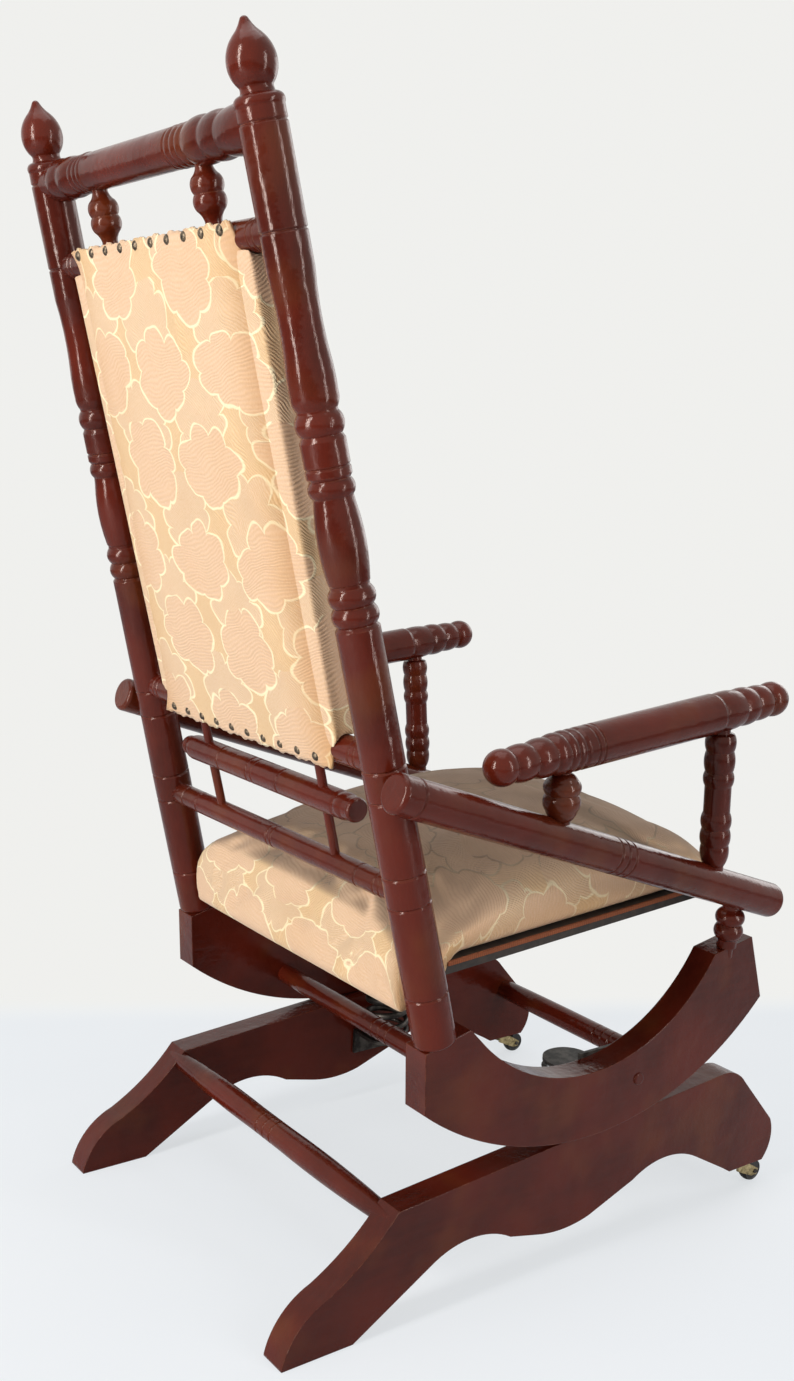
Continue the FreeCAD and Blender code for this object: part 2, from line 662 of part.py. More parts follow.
pad_half = cell("pad_half")
back_pad = new_body("back_pad", back_placement())
loft_across(back_pad, pad_outline, [(-pad_half, -7), (18 - pad_half, 0), (as_size(0), cell("pad_crown")),
                                    (pad_half - 18, 0), (pad_half, -7)])
for number, height in enumerate((cell("lower_pad_height"), cell("upper_pad_height"))):
    room = back_pad.newObject("PartDesign::SubtractiveCylinder", f"rail_room_{number}")
    bind(room, "Radius", pad_rail + cloth_gap)
    bind(room, "Height", pad_half * 2 + 20)
    room.Placement = Placement(Vector(-(pad_half.value + 10), 0, height.value), Rotation(Vector(0, 1, 0), 90))
rooms = {"crest_spindle": ("upper_pad_height", cell("crest_spindle_x"), as_size(crest_tenon)),
         "back_dowel": ("lower_pad_height", cell("dowel_x"), cell("dowel_radius"))}
for name, (alias, x, radius) in rooms.items():
    for side, sign in sides.items():
        room = back_pad.newObject("PartDesign::SubtractiveCylinder", f"{side}_{name}_room")
        bind(room, "Radius", radius + cloth_gap)
        bind(room, "Height", pad_rail * 2 + 10)
        low = cell(alias).value - pad_rail.value - 5
        room.Placement = Placement(Vector(sign * x.value, 0, low), Rotation())
cover = new_body("back_cover", back_placement(0, 0, cover_front.value + cell("cover_thick").value))
top_half = cell("cover_top_half")
foot_half = cell("cover_foot_half")
cover_steps = [("line", foot_half, pad_low), ("line", top_half, pad_high), ("line", -top_half, pad_high)]
pad_out(cover, "cover_sheet", "XZ_Plane", (-foot_half, pad_low), cover_steps, cell("cover_thick"))

# Domed tacks in two rows, through the cover and into the pad rails
tack = cell("tack_radius")
tack_profile = [(0, -9), up_to(0.9, -9), up_to(0.9, 0), up_to(tack, 0), dome_end(tack, 0, 2.8)]
row_start = -(cell("tack_count").value - 1) / 2 * cell("tack_pitch").value
rows = {"top_tacks": cell("upper_pad_height").value + 8, "bottom_tacks": cell("lower_pad_height").value - 5.5}
for label, height in rows.items():
    first = back_point(row_start, height, cover_front.value + cell("cover_thick").value)
    outwards = back_point(0, 0, 1) - back_point(0, 0, 0)
    body = turned(label, tack_profile, between(first, first + outwards))
    row = body.newObject("PartDesign::LinearPattern", label + "_row")
    row.Originals = [body.Tip]
    row.Direction = (doc.getObject(label + "_profile"), ["H_Axis"])
    bind(row, "Length", cell("tack_pitch") * (cell("tack_count") - 1))
    bind(row, "Occurrences", cell("tack_count"))
    body.Tip = row

# Seat: a crowned cushion with drawn-in sides, cloth lips over a wooden frame, webbing between
seat_half = cell("seat_half")
seat_rear = cell("seat_rear_y")
seat_front = cell("seat_front_y")
seat_edge = cell("seat_edge_thick")
seat_cloth = cell("seat_cloth")
frame_half = seat_half - seat_cloth
rear_bar_front = seat_rear - seat_cloth - 40
bar_depth = cell("rear_bar_depth")
frame_thick = cell("seat_frame_thick")
seat_turn = Rotation(Vector(1, 0, 0), -cell("seat_rise").value)
seat_place = Placement(Vector(0, 0, cell("seat_height").value), seat_turn)


def seat_outline(swell):
    return (seat_rear, -bar_depth), [
        ("line", rear_bar_front, 0),
        ("line", seat_front + 24, 0),
        ("line", seat_front, -frame_thick),
        ("arc", seat_front + 82, seat_edge + swell, -24),
        ("arc", seat_rear, seat_edge - 17 + swell * 0.7, -16),
    ]


cushion = new_body("seat_cushion", seat_place)
loft_across(cushion, seat_outline, [(-seat_half, -9), (18 - seat_half, 0), (as_size(0), cell("seat_crown")),
                                    (seat_half - 18, 0), (seat_half, -9)])
start, steps = box_steps((rear_bar_front, -60), (seat_rear - seat_cloth, 0))
cut_through(cushion, "rear_bar_room", "YZ_Plane", start, steps, frame_half * 2)
start, steps = box_steps((seat_front + seat_cloth, -60), (seat_front + 30, 0))
cut_through(cushion, "front_bar_room", "YZ_Plane", start, steps, frame_half * 2)
webbing = cell("webbing_thick")
frame_top = -(webbing + cloth_gap)
frame_low = frame_top - frame_thick
frame_width = cell("seat_frame_width")
front_bar_rear = seat_front + seat_cloth + cloth_gap + frame_width
rear_bar_rear = seat_rear - seat_cloth - cloth_gap
bars = {
    "seat_rear_bar": ((rear_bar_front + cloth_gap, -bar_depth), (rear_bar_rear, frame_top)),
    "seat_front_bar": ((seat_front + seat_cloth + cloth_gap, frame_low), (front_bar_rear, frame_top)),
}
for label, (low, high) in bars.items():
    start, steps = box_steps(low, high)
    body = new_body(label, seat_place)
    pad_out(body, label + "_wood", "YZ_Plane", start, steps, (frame_half - cloth_gap) * 2, midplane=True)
for side, sign in sides.items():
    label = f"{side}_seat_bar"
    start, steps = box_steps((front_bar_rear, frame_low), (rear_bar_front + cloth_gap, frame_top))
    body = new_body(label, seat_place)
    inner = frame_half - cloth_gap - frame_width
    offset = inner if sign > 0 else -(inner + frame_width)
    pad_out(body, label + "_wood", "YZ_Plane", start, steps, frame_width, offset)
    label = f"{side}_seat_welt"
    start, steps = box_steps((seat_front + 46, frame_top - cell("welt_height")), (seat_rear - 48, frame_top))
    body = new_body(label, seat_place)
    inner = frame_half - cloth_gap
    offset = inner if sign > 0 else -(inner + cell("welt_width"))
    pad_out(body, label + "_band", "YZ_Plane", start, steps, cell("welt_width"), offset)
body = new_body("seat_webbing", seat_place)
start, steps = box_steps((front_bar_rear - 25, frame_top), (rear_bar_front + 25, frame_top + webbing))
pad_out(body, "webbing_sheet", "YZ_Plane", start, steps, (frame_half - 20) * 2, midplane=True)

# Dowels that carry the seat: from its rear bar into the posts, from its sides into the side rails
peg = cell("seat_dowel_radius")


def seat_point(x, y, height):
    return seat_place.multVec(Vector(x, y, height))


pegs = {
    "rear_seat_dowel": (seat_rear.value - 12, (frame_top.value - bar_depth.value) / 2, 26),
    "front_seat_dowel": (seat_front.value + 22, (frame_top.value + frame_low.value) / 2, 52),
}
for name, (y, height, length) in pegs.items():
    for side, sign in sides.items():
        start = seat_point(sign * (frame_half.value - 10), y, height)
        end = start + Vector(sign * length, 0, 0)
        steps = [(0, 0), up_to(peg, 0), up_to(peg, length), up_to(0, length)]
        turned(f"{side}_{name}", steps, between(start, end))

# Platform springs: a coil each side between a clip on the runner and a clip on the rocker
clip_thick = cell("clip_thick")
clip_half = cell("clip_width") / 2
clip_flange = cell("clip_flange")
spring_y = cell("spring_y").value
spring_foot = cell("spring_foot")
spring_top = spring_foot + cell("spring_height")
plate_inner = cell("spring_x") - clip_half
rocker_inner = cell("rocker_spread") - cell("rocker_thick") / 2
for side, sign in sides.items():
    turn = Rotation(Vector(0, 0, 1), 0 if sign > 0 else 180)
    for name, face, level, up in (("base_clip", runner_inner, spring_foot - clip_thick, -1),
                                  ("rocker_clip", rocker_inner, spring_top, 1)):
        if up > 0:
            start = (plate_inner, 0)
            steps = [("line", face, 0), ("line", face, clip_flange), ("line", face - clip_thick, clip_flange),
                     ("line", face - clip_thick, clip_thick), ("line", plate_inner, clip_thick)]
        else:
            start = (plate_inner, clip_thick)
            steps = [("line", plate_inner, 0), ("line", face - clip_thick, 0),
                     ("line", face - clip_thick, clip_thick - clip_flange),
                     ("line", face, clip_thick - clip_flange), ("line", face, clip_thick)]
        body = new_body(f"{side}_{name}", Placement(Vector(0, spring_y, level.value), turn))
        width = cell("clip_width")
        strip = pad_out(body, f"{side}_{name}_strip", "XZ_Plane", start, steps, width, midplane=True)
        doc.recompute()
        corners = [f"Edge{number}" for number, edge in enumerate(strip.Shape.Edges, start=1)
                   if all(abs(end.X - plate_inner.value) < 0.01 for end in edge.Vertexes)
                   and abs(edge.Vertexes[0].Z - edge.Vertexes[-1].Z) > clip_thick.value / 2]
        rounding = body.newObject("PartDesign::Fillet", f"{side}_{name}_rounding")
        rounding.Base = (strip, corners)
        bind(rounding, "Radius", clip_half - 1)

wire = cell("wire_radius").value
coil_radius = cell("spring_radius").value
coil_rise = cell("spring_height").value - 2 * wire - 0.2
turns = int(cell("spring_turns").value)
closing = 0.4


def coil_point(turn):
    """A point on the coil's centre line after so many turns; the end turns lie closer."""
    height = coil_rise * (turn / turns - closing * math.sin(2 * math.pi * turn / turns) / (2 * math.pi))
    angle = 2 * math.pi * turn
    return Vector(coil_radius * math.cos(angle), coil_radius * math.sin(angle), height)


def coil_heading(turn):
    step = 1e-5
    return (coil_point(turn + step) - coil_point(turn - step)).normalize()


def arc_from(start, heading, end):
    """The arc that leaves start along a heading and passes through end."""
    chord = end - start
    along = Vector(chord).normalize()
    away = heading - along * heading.dot(along)
    angle = heading.getAngle(along)
    middle = start + chord / 2 + away.normalize() * (chord.Length / 2 * math.tan(angle / 2))
    return Part.Arc(start, middle, end).toShape()


def biarc(first, second):
    """Two arcs that join smoothly between two places on the coil."""
    start, end = coil_point(first), coil_point(second)
    leaving, arriving = coil_heading(first), coil_heading(second)
    chord = end - start
    spread = 2 * (1 - leaving.dot(arriving))
    lead = chord.dot(leaving + arriving)
    reach = (-lead + math.sqrt(lead ** 2 + spread * chord.dot(chord))) / spread
    joint = (start + leaving * reach + end - arriving * reach) / 2
    back = arc_from(end, arriving * -1, joint)
    return [arc_from(start, leaving, joint), back]


edges = []
for quarter in range(turns * 4):
    edges += biarc(quarter / 4, (quarter + 1) / 4)
spine = Part.Wire(Part.__sortEdges__(edges))
ring = Part.Wire(Part.makeCircle(wire, coil_point(0), coil_heading(0)))
shell = Part.BRepOffsetAPI.MakePipeShell(spine)
shell.add(ring)
shell.build()
shell.makeSolid()
coil = shell.shape()
for side, sign in sides.items():
    spring = doc.addObject("Part::Feature", f"{side}_coil_spring")
    spring.Label = f"{side}_coil_spring"
    spring.Shape = coil
    foot = Vector(sign * cell("spring_x").value, spring_y, spring_foot.value + wire + 0.1)
    spring.Placement = Placement(foot, Rotation(Vector(0, 0, 1), 0 if sign > 0 else 180))
samples = [coil_point(number / 24) for number in range(turns * 24 + 1)]
least = min((samples[low] - samples[high]).Length
            for low in range(len(samples)) for high in range(low + 13, len(samples)))
print("least gap of the coil to itself", round(least - 2 * wire, 2), "mm")

# Plugs on the rockers' outer faces
plug = cell("plug_radius")
plug_profile = [(0, -14), up_to(plug - 1, -14), up_to(plug - 1, 0), up_to(plug, 0), bead(plug - 2, 2, 0.6),
                up_to(0, 2)]
for side, sign in sides.items():
    face = Vector(sign * (cell("rocker_spread").value + cell("rocker_thick").value / 2),
                  cell("plug_y").value, cell("plug_height").value)
    turned(f"{side}_rocker_plug", plug_profile, between(face, face + Vector(sign, 0, 0)))

# Casters under the runners' noses: socket, swivelling fork, axle and wheel
stem = cell("stem_radius")
gap = cell("running_gap")
flange = cell("flange_radius")
flange_thick = cell("flange_thick")
socket = cell("socket_radius")
stem_length = cell("stem_length")
wheel_radius = cell("wheel_radius")
wheel_width = cell("wheel_width")
axle = cell("axle_radius")
trail = cell("caster_trail")
cheek_room = wheel_width + cell("fork_gap") * 2
fork_width = cheek_room + cell("fork_thick") * 2
socket_profile = [(stem + gap, -flange_thick), up_to(flange, -flange_thick), up_to(flange, 0), up_to(socket, 0),
                  up_to(socket, stem_length), up_to(stem + gap, stem_length)]
fork_top = -(flange_thick + 0.3)
stem_profile = [(0, fork_top - 4.5), up_to(8, fork_top - 4.5), up_to(8, fork_top), up_to(stem, fork_top),
                up_to(stem, stem_length - 1), up_to(0, stem_length - 1)]
axle_drop = nose_gap - wheel_radius
cheek_start = (5, fork_top)
cheek_steps = [("line", 5, fork_top - 8), ("line", -(trail - 5), -(axle_drop + 4.5)),
               ("line", -(trail + 3), -(axle_drop + 4.5)), ("line", -(trail + 5), 2 - axle_drop),
               ("line", 3 - trail, 7 - axle_drop), ("line", -7, fork_top)]
wheel_half = wheel_width / 2
wheel_profile = [(axle + gap, -wheel_half), up_to(5, -wheel_half), up_to(5, 0.7 - wheel_half),
                 up_to(wheel_radius - 3, 0.7 - wheel_half), up_to(wheel_radius - 1.4, -wheel_half),
                 bead(wheel_radius - 1.4, wheel_half, 1.4), up_to(wheel_radius - 3, wheel_half - 0.7),
                 up_to(5, wheel_half - 0.7), up_to(5, wheel_half), up_to(axle + gap, wheel_half)]
for side, sign in sides.items():
    seat = Vector(sign * cell("base_spread").value, cell("caster_y").value, nose_gap.value)
    turned(f"{side}_caster_socket", socket_profile, Placement(seat, Rotation()))
    fork = turned(f"{side}_caster_fork", stem_profile, Placement(seat, Rotation()))
    pad_out(fork, f"{side}_cheeks", "YZ_Plane", cheek_start, cheek_steps, fork_width, midplane=True)
    start, steps = box_steps((-60, -40), (5.5, fork_top - 4.5))
    cut_through(fork, f"{side}_wheel_room", "YZ_Plane", start, steps, cheek_room)
    hub = seat + Vector(0, -trail.value, -axle_drop.value)
    reach = fork_width.value / 2 + 1
    start = hub - Vector(reach, 0, 0)
    pin = [(0, 0), up_to(axle, 0), up_to(axle, fork_width + 2), up_to(0, fork_width + 2)]
    turned(f"{side}_caster_axle", pin, between(start, hub))
    turned(f"{side}_caster_wheel", wheel_profile, between(hub, hub + Vector(1, 0, 0)))
    room = [(0, 0), up_to(socket, 0), up_to(socket, stem_length + 1), up_to(0, stem_length + 1)]
    runner = doc.getObject(f"{side}_base_runner")
    bore = runner.newObject("PartDesign::Groove", f"{side}_socket_bore")
    bore.Profile = draw(runner, f"{side}_socket_bore_outline", "XZ_Plane", room[0], room[1:])
    bore.Profile[0].AttachmentOffset = Placement(Vector(0, nose_gap.value, -cell("caster_y").value), Rotation())
    bore.ReferenceAxis = (bore.Profile[0], ["V_Axis"])
    bore.Angle = 360

# Every object must be sound before its STEP file is written
doc.recompute()
faulty = [feature.Name for feature in doc.Objects if {"Invalid", "Error"} & set(feature.State)]
pieces = [feature for feature in doc.Objects if feature.TypeId in ("PartDesign::Body", "Part::Feature")]
unsound = [piece.Label for piece in pieces if piece.Shape.isNull() or not piece.Shape.isValid()]
print("faulty", faulty)
print("unsound", unsound)
if faulty or unsound:
    raise SystemExit(1)
for piece in pieces:
    piece.Shape.exportStep(f"parts/{piece.Label}.step")
print(len(pieces), "pieces written")
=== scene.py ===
from math import cos, pi, radians, sin, sqrt
import bpy
from mathutils import Matrix, Vector


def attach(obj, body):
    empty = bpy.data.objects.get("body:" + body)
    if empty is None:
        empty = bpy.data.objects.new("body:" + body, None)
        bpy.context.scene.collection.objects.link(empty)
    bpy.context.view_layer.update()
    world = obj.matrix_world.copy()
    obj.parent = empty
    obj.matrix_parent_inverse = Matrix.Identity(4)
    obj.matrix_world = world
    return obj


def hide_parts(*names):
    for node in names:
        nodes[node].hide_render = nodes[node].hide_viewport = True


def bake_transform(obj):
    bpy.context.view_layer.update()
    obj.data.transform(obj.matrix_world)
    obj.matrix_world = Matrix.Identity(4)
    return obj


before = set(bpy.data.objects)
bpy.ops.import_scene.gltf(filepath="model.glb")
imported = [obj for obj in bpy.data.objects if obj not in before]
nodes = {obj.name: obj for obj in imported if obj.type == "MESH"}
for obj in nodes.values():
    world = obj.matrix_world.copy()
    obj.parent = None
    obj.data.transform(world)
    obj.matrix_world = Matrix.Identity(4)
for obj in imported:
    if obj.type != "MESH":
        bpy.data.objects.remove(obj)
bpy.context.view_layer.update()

print("frame loaded", len(nodes), "nodes")


# small tools for selecting, placing and closing a piece

def clearSelection():
    if bpy.context.object and bpy.context.object.mode != "OBJECT":
        bpy.ops.object.mode_set(mode="OBJECT")
    bpy.ops.object.select_all(action="DESELECT")


def onlySelect(piece):
    clearSelection()
    piece.select_set(True)
    bpy.context.view_layer.objects.active = piece


def applyAll(piece):
    onlySelect(piece)
    for modifier in list(piece.modifiers):
        bpy.ops.object.modifier_apply(modifier=modifier.name)


def settlePlace(piece):
    onlySelect(piece)
    bpy.ops.object.transform_apply(location=True, rotation=True, scale=True)


def faceOutwards(piece):
    onlySelect(piece)
    bpy.ops.object.mode_set(mode="EDIT")
    bpy.ops.mesh.select_all(action="SELECT")
    bpy.ops.mesh.remove_doubles(threshold=0.00005)
    bpy.ops.mesh.normals_make_consistent(inside=False)
    bpy.ops.object.mode_set(mode="OBJECT")


def copyOfNode(name, newName):
    piece = nodes[name].copy()
    piece.data = nodes[name].data.copy()
    piece.name = newName
    piece.parent = None
    piece.matrix_world = Matrix.Identity(4)
    bpy.context.collection.objects.link(piece)
    faceOutwards(piece)
    return piece


def finishPiece(piece, body, material, slotName, *replaced):
    piece.data.materials.clear()
    piece.data.materials.append(material)
    if replaced:
        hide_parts(*replaced)
    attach(piece, body)


# the back's leaning frame, as the posts stand

backFrame = {
    "lean": radians(14),
    "footY": 0.1375,
    "footHeight": 0.27561,
    "padLow": 0.2566,
    "padHigh": 0.7134,
    "coverOut": 0.0172,
}


def backToWorld(x, out, up):
    lean = backFrame["lean"]
    return Vector((x, backFrame["footY"] + up * sin(lean) + out * cos(lean),
                   backFrame["footHeight"] + up * cos(lean) - out * sin(lean)))


def worldToBack(point):
    lean = backFrame["lean"]
    y = point.y - backFrame["footY"]
    z = point.z - backFrame["footHeight"]
    return Vector((point.x, y * cos(lean) - z * sin(lean), y * sin(lean) + z * cos(lean)))


# materials

def newMaterial(name):
    material = bpy.data.materials.new(name)
    material.use_nodes = True
    tree = material.node_tree
    tree.nodes.clear()
    output = tree.nodes.new("ShaderNodeOutputMaterial")
    shader = tree.nodes.new("ShaderNodeBsdfPrincipled")
    tree.links.new(shader.outputs["BSDF"], output.inputs["Surface"])
    return material, tree, shader


def addNode(tree, kind, **settings):
    node = tree.nodes.new(kind)
    for name, value in settings.items():
        setattr(node, name, value)
    return node


def calc(tree, operation, first, second=0.0, third=None):
    node = addNode(tree, "ShaderNodeMath", operation=operation)
    for index, value in enumerate((first, second, third)):
        if value is None:
            continue
        if isinstance(value, (int, float)):
            node.inputs[index].default_value = value
        else:
            tree.links.new(value, node.inputs[index])
    return node.outputs[0]


def mixColor(tree, factor, first, second):
    node = addNode(tree, "ShaderNodeMix", data_type="RGBA")
    for index, value in ((0, factor), (6, first), (7, second)):  # 6 and 7 are the colour sockets
        socket = node.inputs[index]
        if isinstance(value, (int, float)):
            socket.default_value = value
        elif isinstance(value, tuple):
            socket.default_value = (*value, 1) if len(value) == 3 else value
        else:
            tree.links.new(value, socket)
    return node.outputs[2]


def ramp(tree, value, low, high):
    node = addNode(tree, "ShaderNodeMapRange", interpolation_type="SMOOTHSTEP")
    tree.links.new(value, node.inputs["Value"])
    node.inputs["From Min"].default_value = low
    node.inputs["From Max"].default_value = high
    return node.outputs["Result"]


def noise(tree, vector, scale, detail=3.0, roughness=0.5, stretch=(1, 1, 1)):
    mapping = addNode(tree, "ShaderNodeMapping")
    mapping.inputs["Scale"].default_value = stretch
    tree.links.new(vector, mapping.inputs["Vector"])
    node = addNode(tree, "ShaderNodeTexNoise")
    node.inputs["Scale"].default_value = scale
    node.inputs["Detail"].default_value = detail
    node.inputs["Roughness"].default_value = roughness
    tree.links.new(mapping.outputs[0], node.inputs["Vector"])
    return node.outputs["Fac"]


def bump(tree, shader, height, strength, distance, under=None, coat=False):
    node = addNode(tree, "ShaderNodeBump")
    node.inputs["Strength"].default_value = strength
    node.inputs["Distance"].default_value = distance
    tree.links.new(height, node.inputs["Height"])
    if under is not None:
        tree.links.new(under, node.inputs["Normal"])
    tree.links.new(node.outputs["Normal"], shader.inputs["Normal"])
    if coat:
        tree.links.new(node.outputs["Normal"], shader.inputs["Coat Normal"])


paint = {
    "deep": (0.050, 0.0058, 0.0026),
    "bright": (0.098, 0.0110, 0.0046),
    "amber": (0.130, 0.0330, 0.0080),
    # worn: colour of rubbed and chipped paint, on the edges also a painted highlight
    "worn": (0.34, 0.115, 0.055),
    "glint": (1.0, 0.70, 0.60, 1),
    "roughness": 0.20,
    "coat": 0.22,
    "coatRoughness": 0.05,
    "specular": 0.20,
    "wornAndHighlightShare": 0.5,
    "amberShare": 0.40,
    "edgeRadius": 0.0016,
    "bumpDepth": 0.0013,
    "grainStretch": 0.16,
}


def glossPaint(name, grainAxis):
    # brushed gloss: clouded colour, lighter edges that are partly rubbed paint and partly painted
    # highlight, chips and a pebbled skin
    material, tree, shader = newMaterial(name)
    place = addNode(tree, "ShaderNodeTexCoord").outputs["Object"]
    stretch = [1, 1, 1]
    stretch[grainAxis] = paint["grainStretch"]
    brush = noise(tree, place, 130, 4, 0.6, tuple(stretch))
    cloud = noise(tree, place, 9, 3, 0.5)
    color = mixColor(tree, ramp(tree, cloud, 0.3, 0.7), paint["deep"], paint["bright"])
    brushed = calc(tree, "MULTIPLY", ramp(tree, brush, 0.35, 0.75), 0.30)
    color = mixColor(tree, brushed, color, paint["bright"])
    rounded = addNode(tree, "ShaderNodeBevel", samples=4)
    rounded.inputs["Radius"].default_value = paint["edgeRadius"]
    turn = addNode(tree, "ShaderNodeVectorMath", operation="DOT_PRODUCT")
    tree.links.new(rounded.outputs["Normal"], turn.inputs[0])
    tree.links.new(addNode(tree, "ShaderNodeNewGeometry").outputs["Normal"], turn.inputs[1])
    edge = calc(tree, "SUBTRACT", 1.0, ramp(tree, turn.outputs["Value"], 0.80, 0.985))
    scratch = noise(tree, place, 70, 6, 0.75)
    patches = noise(tree, place, 14, 2, 0.5)
    browned = calc(tree, "MULTIPLY", ramp(tree, patches, 0.48, 0.72), paint["amberShare"])
    color = mixColor(tree, browned, color, paint["amber"])
    # edges lighter in patches: partly paint rubbed through, partly painted highlight along the edges
    rubbed = calc(tree, "MULTIPLY", edge, ramp(tree, scratch, 0.42, 0.60))
    chips = calc(tree, "MULTIPLY", ramp(tree, scratch, 0.71, 0.74), ramp(tree, patches, 0.58, 0.7))
    wornAndHighlight = calc(tree, "MULTIPLY", calc(tree, "MAXIMUM", rubbed, chips), paint["wornAndHighlightShare"])
    color = mixColor(tree, wornAndHighlight, color, paint["worn"])
    tree.links.new(color, shader.inputs["Base Color"])
    rough = calc(tree, "MULTIPLY_ADD", brush, 0.16, paint["roughness"] - 0.08)
    tree.links.new(rough, shader.inputs["Roughness"])
    shader.inputs["Specular Tint"].default_value = paint["glint"]
    shader.inputs["Coat Weight"].default_value = paint["coat"]
    shader.inputs["Coat Roughness"].default_value = paint["coatRoughness"]
    shader.inputs["Specular IOR Level"].default_value = paint["specular"]
    lumps = noise(tree, place, 38, 3, 0.55)
    pebble = noise(tree, place, 170, 3, 0.6)
    height = calc(tree, "ADD", calc(tree, "MULTIPLY", brush, 0.30), lumps)
    height = calc(tree, "ADD", height, calc(tree, "MULTIPLY", pebble, 0.22))
    height = calc(tree, "SUBTRACT", height, calc(tree, "MULTIPLY", chips, 0.5))
    bump(tree, shader, height, 0.72, paint["bumpDepth"], rounded.outputs["Normal"], coat=True)
    return material


cloth = {
    "ground": (0.72, 0.535, 0.360),
    "rose": (0.70, 0.500, 0.345),
    "ochre": (0.72, 0.520, 0.310),
    "line": (0.90, 0.800, 0.530),
    "shade": (0.52, 0.26, 0.085),
    "worn": (0.240, 0.160, 0.105),
    "wornLine": (0.115, 0.075, 0.048),
    "cloudWidth": 0.116,
    "cloudHeight": 0.084,
    "cloudRadius": 0.038,
    "cloudStretch": 1.28,
    "bodyShare": 0.82,
    "lobeDepth": 0.20,
    "upperDepth": 0.07,
    "lobeSharpness": 0.62,
    "oval": 0.10,
    "lineWidth": 0.0013,
    "rib": 0.0034,
    "sway": 0.036,
    "upperLobes": 7,
    "lowerLobes": 8,
    "lowerShift": (0.050, 0.046),
    "roughness": 0.88,
    "sheen": 0.15,
    "soil": 0.18,
    "bumpDepth": 0.0015,
}


def cloudField(tree, u, v, shiftU, shiftV, lobeCount):
    # signed distance to the nearest lobed cloud of one staggered grid
    width, height = cloth["cloudWidth"], cloth["cloudHeight"]
    rowPlace = calc(tree, "DIVIDE", calc(tree, "ADD", v, shiftV), height)
    row = calc(tree, "FLOOR", rowPlace)
    odd = calc(tree, "MULTIPLY", calc(tree, "PINGPONG", row, 1.0), 0.5)
    columnPlace = calc(tree, "ADD", calc(tree, "DIVIDE", calc(tree, "ADD", u, shiftU), width), odd)
    column = calc(tree, "FLOOR", columnPlace)
    seed = addNode(tree, "ShaderNodeCombineXYZ")
    tree.links.new(column, seed.inputs[0])
    tree.links.new(row, seed.inputs[1])
    seed.inputs[2].default_value = shiftU * 100
    chance = addNode(tree, "ShaderNodeTexWhiteNoise", noise_dimensions="3D")
    tree.links.new(seed.outputs[0], chance.inputs["Vector"])
    luck = addNode(tree, "ShaderNodeSeparateXYZ")
    tree.links.new(chance.outputs["Color"], luck.inputs[0])
    x = calc(tree, "SUBTRACT", calc(tree, "FRACT", columnPlace), 0.5)
    x = calc(tree, "ADD", x, calc(tree, "MULTIPLY_ADD", luck.outputs[0], 0.10, -0.05))
    x = calc(tree, "MULTIPLY", x, width / cloth["cloudStretch"])
    y = calc(tree, "SUBTRACT", calc(tree, "FRACT", rowPlace), 0.5)
    y = calc(tree, "ADD", y, calc(tree, "MULTIPLY_ADD", luck.outputs[1], 0.08, -0.04))
    y = calc(tree, "MULTIPLY", y, height)
    angle = calc(tree, "ADD", calc(tree, "ARCTAN2", y, x), calc(tree, "MULTIPLY", luck.outputs[2], 2.4))
    lobes = calc(tree, "ABSOLUTE", calc(tree, "COSINE", calc(tree, "MULTIPLY", angle, lobeCount / 2)))
    lobes = calc(tree, "POWER", lobes, cloth["lobeSharpness"])
    upwards = calc(tree, "SINE", calc(tree, "ARCTAN2", y, x))
    depth = calc(tree, "MULTIPLY_ADD", upwards, cloth["upperDepth"], cloth["lobeDepth"])
    wide = calc(tree, "COSINE", calc(tree, "MULTIPLY_ADD", angle, 2, 0.8))
    lobed = calc(tree, "MULTIPLY_ADD", lobes, depth, cloth["bodyShare"])
    share = calc(tree, "ADD", lobed, calc(tree, "MULTIPLY", wide, cloth["oval"]))
    reach = calc(tree, "MULTIPLY", share, cloth["cloudRadius"])
    squares = calc(tree, "ADD", calc(tree, "MULTIPLY", x, x), calc(tree, "MULTIPLY", y, y))
    distance = calc(tree, "SQRT", squares)
    return calc(tree, "SUBTRACT", distance, reach)


def outline(tree, field):
    half = cloth["lineWidth"]
    return calc(tree, "SUBTRACT", 1.0, ramp(tree, calc(tree, "ABSOLUTE", field), half * 0.35, half * 1.25))


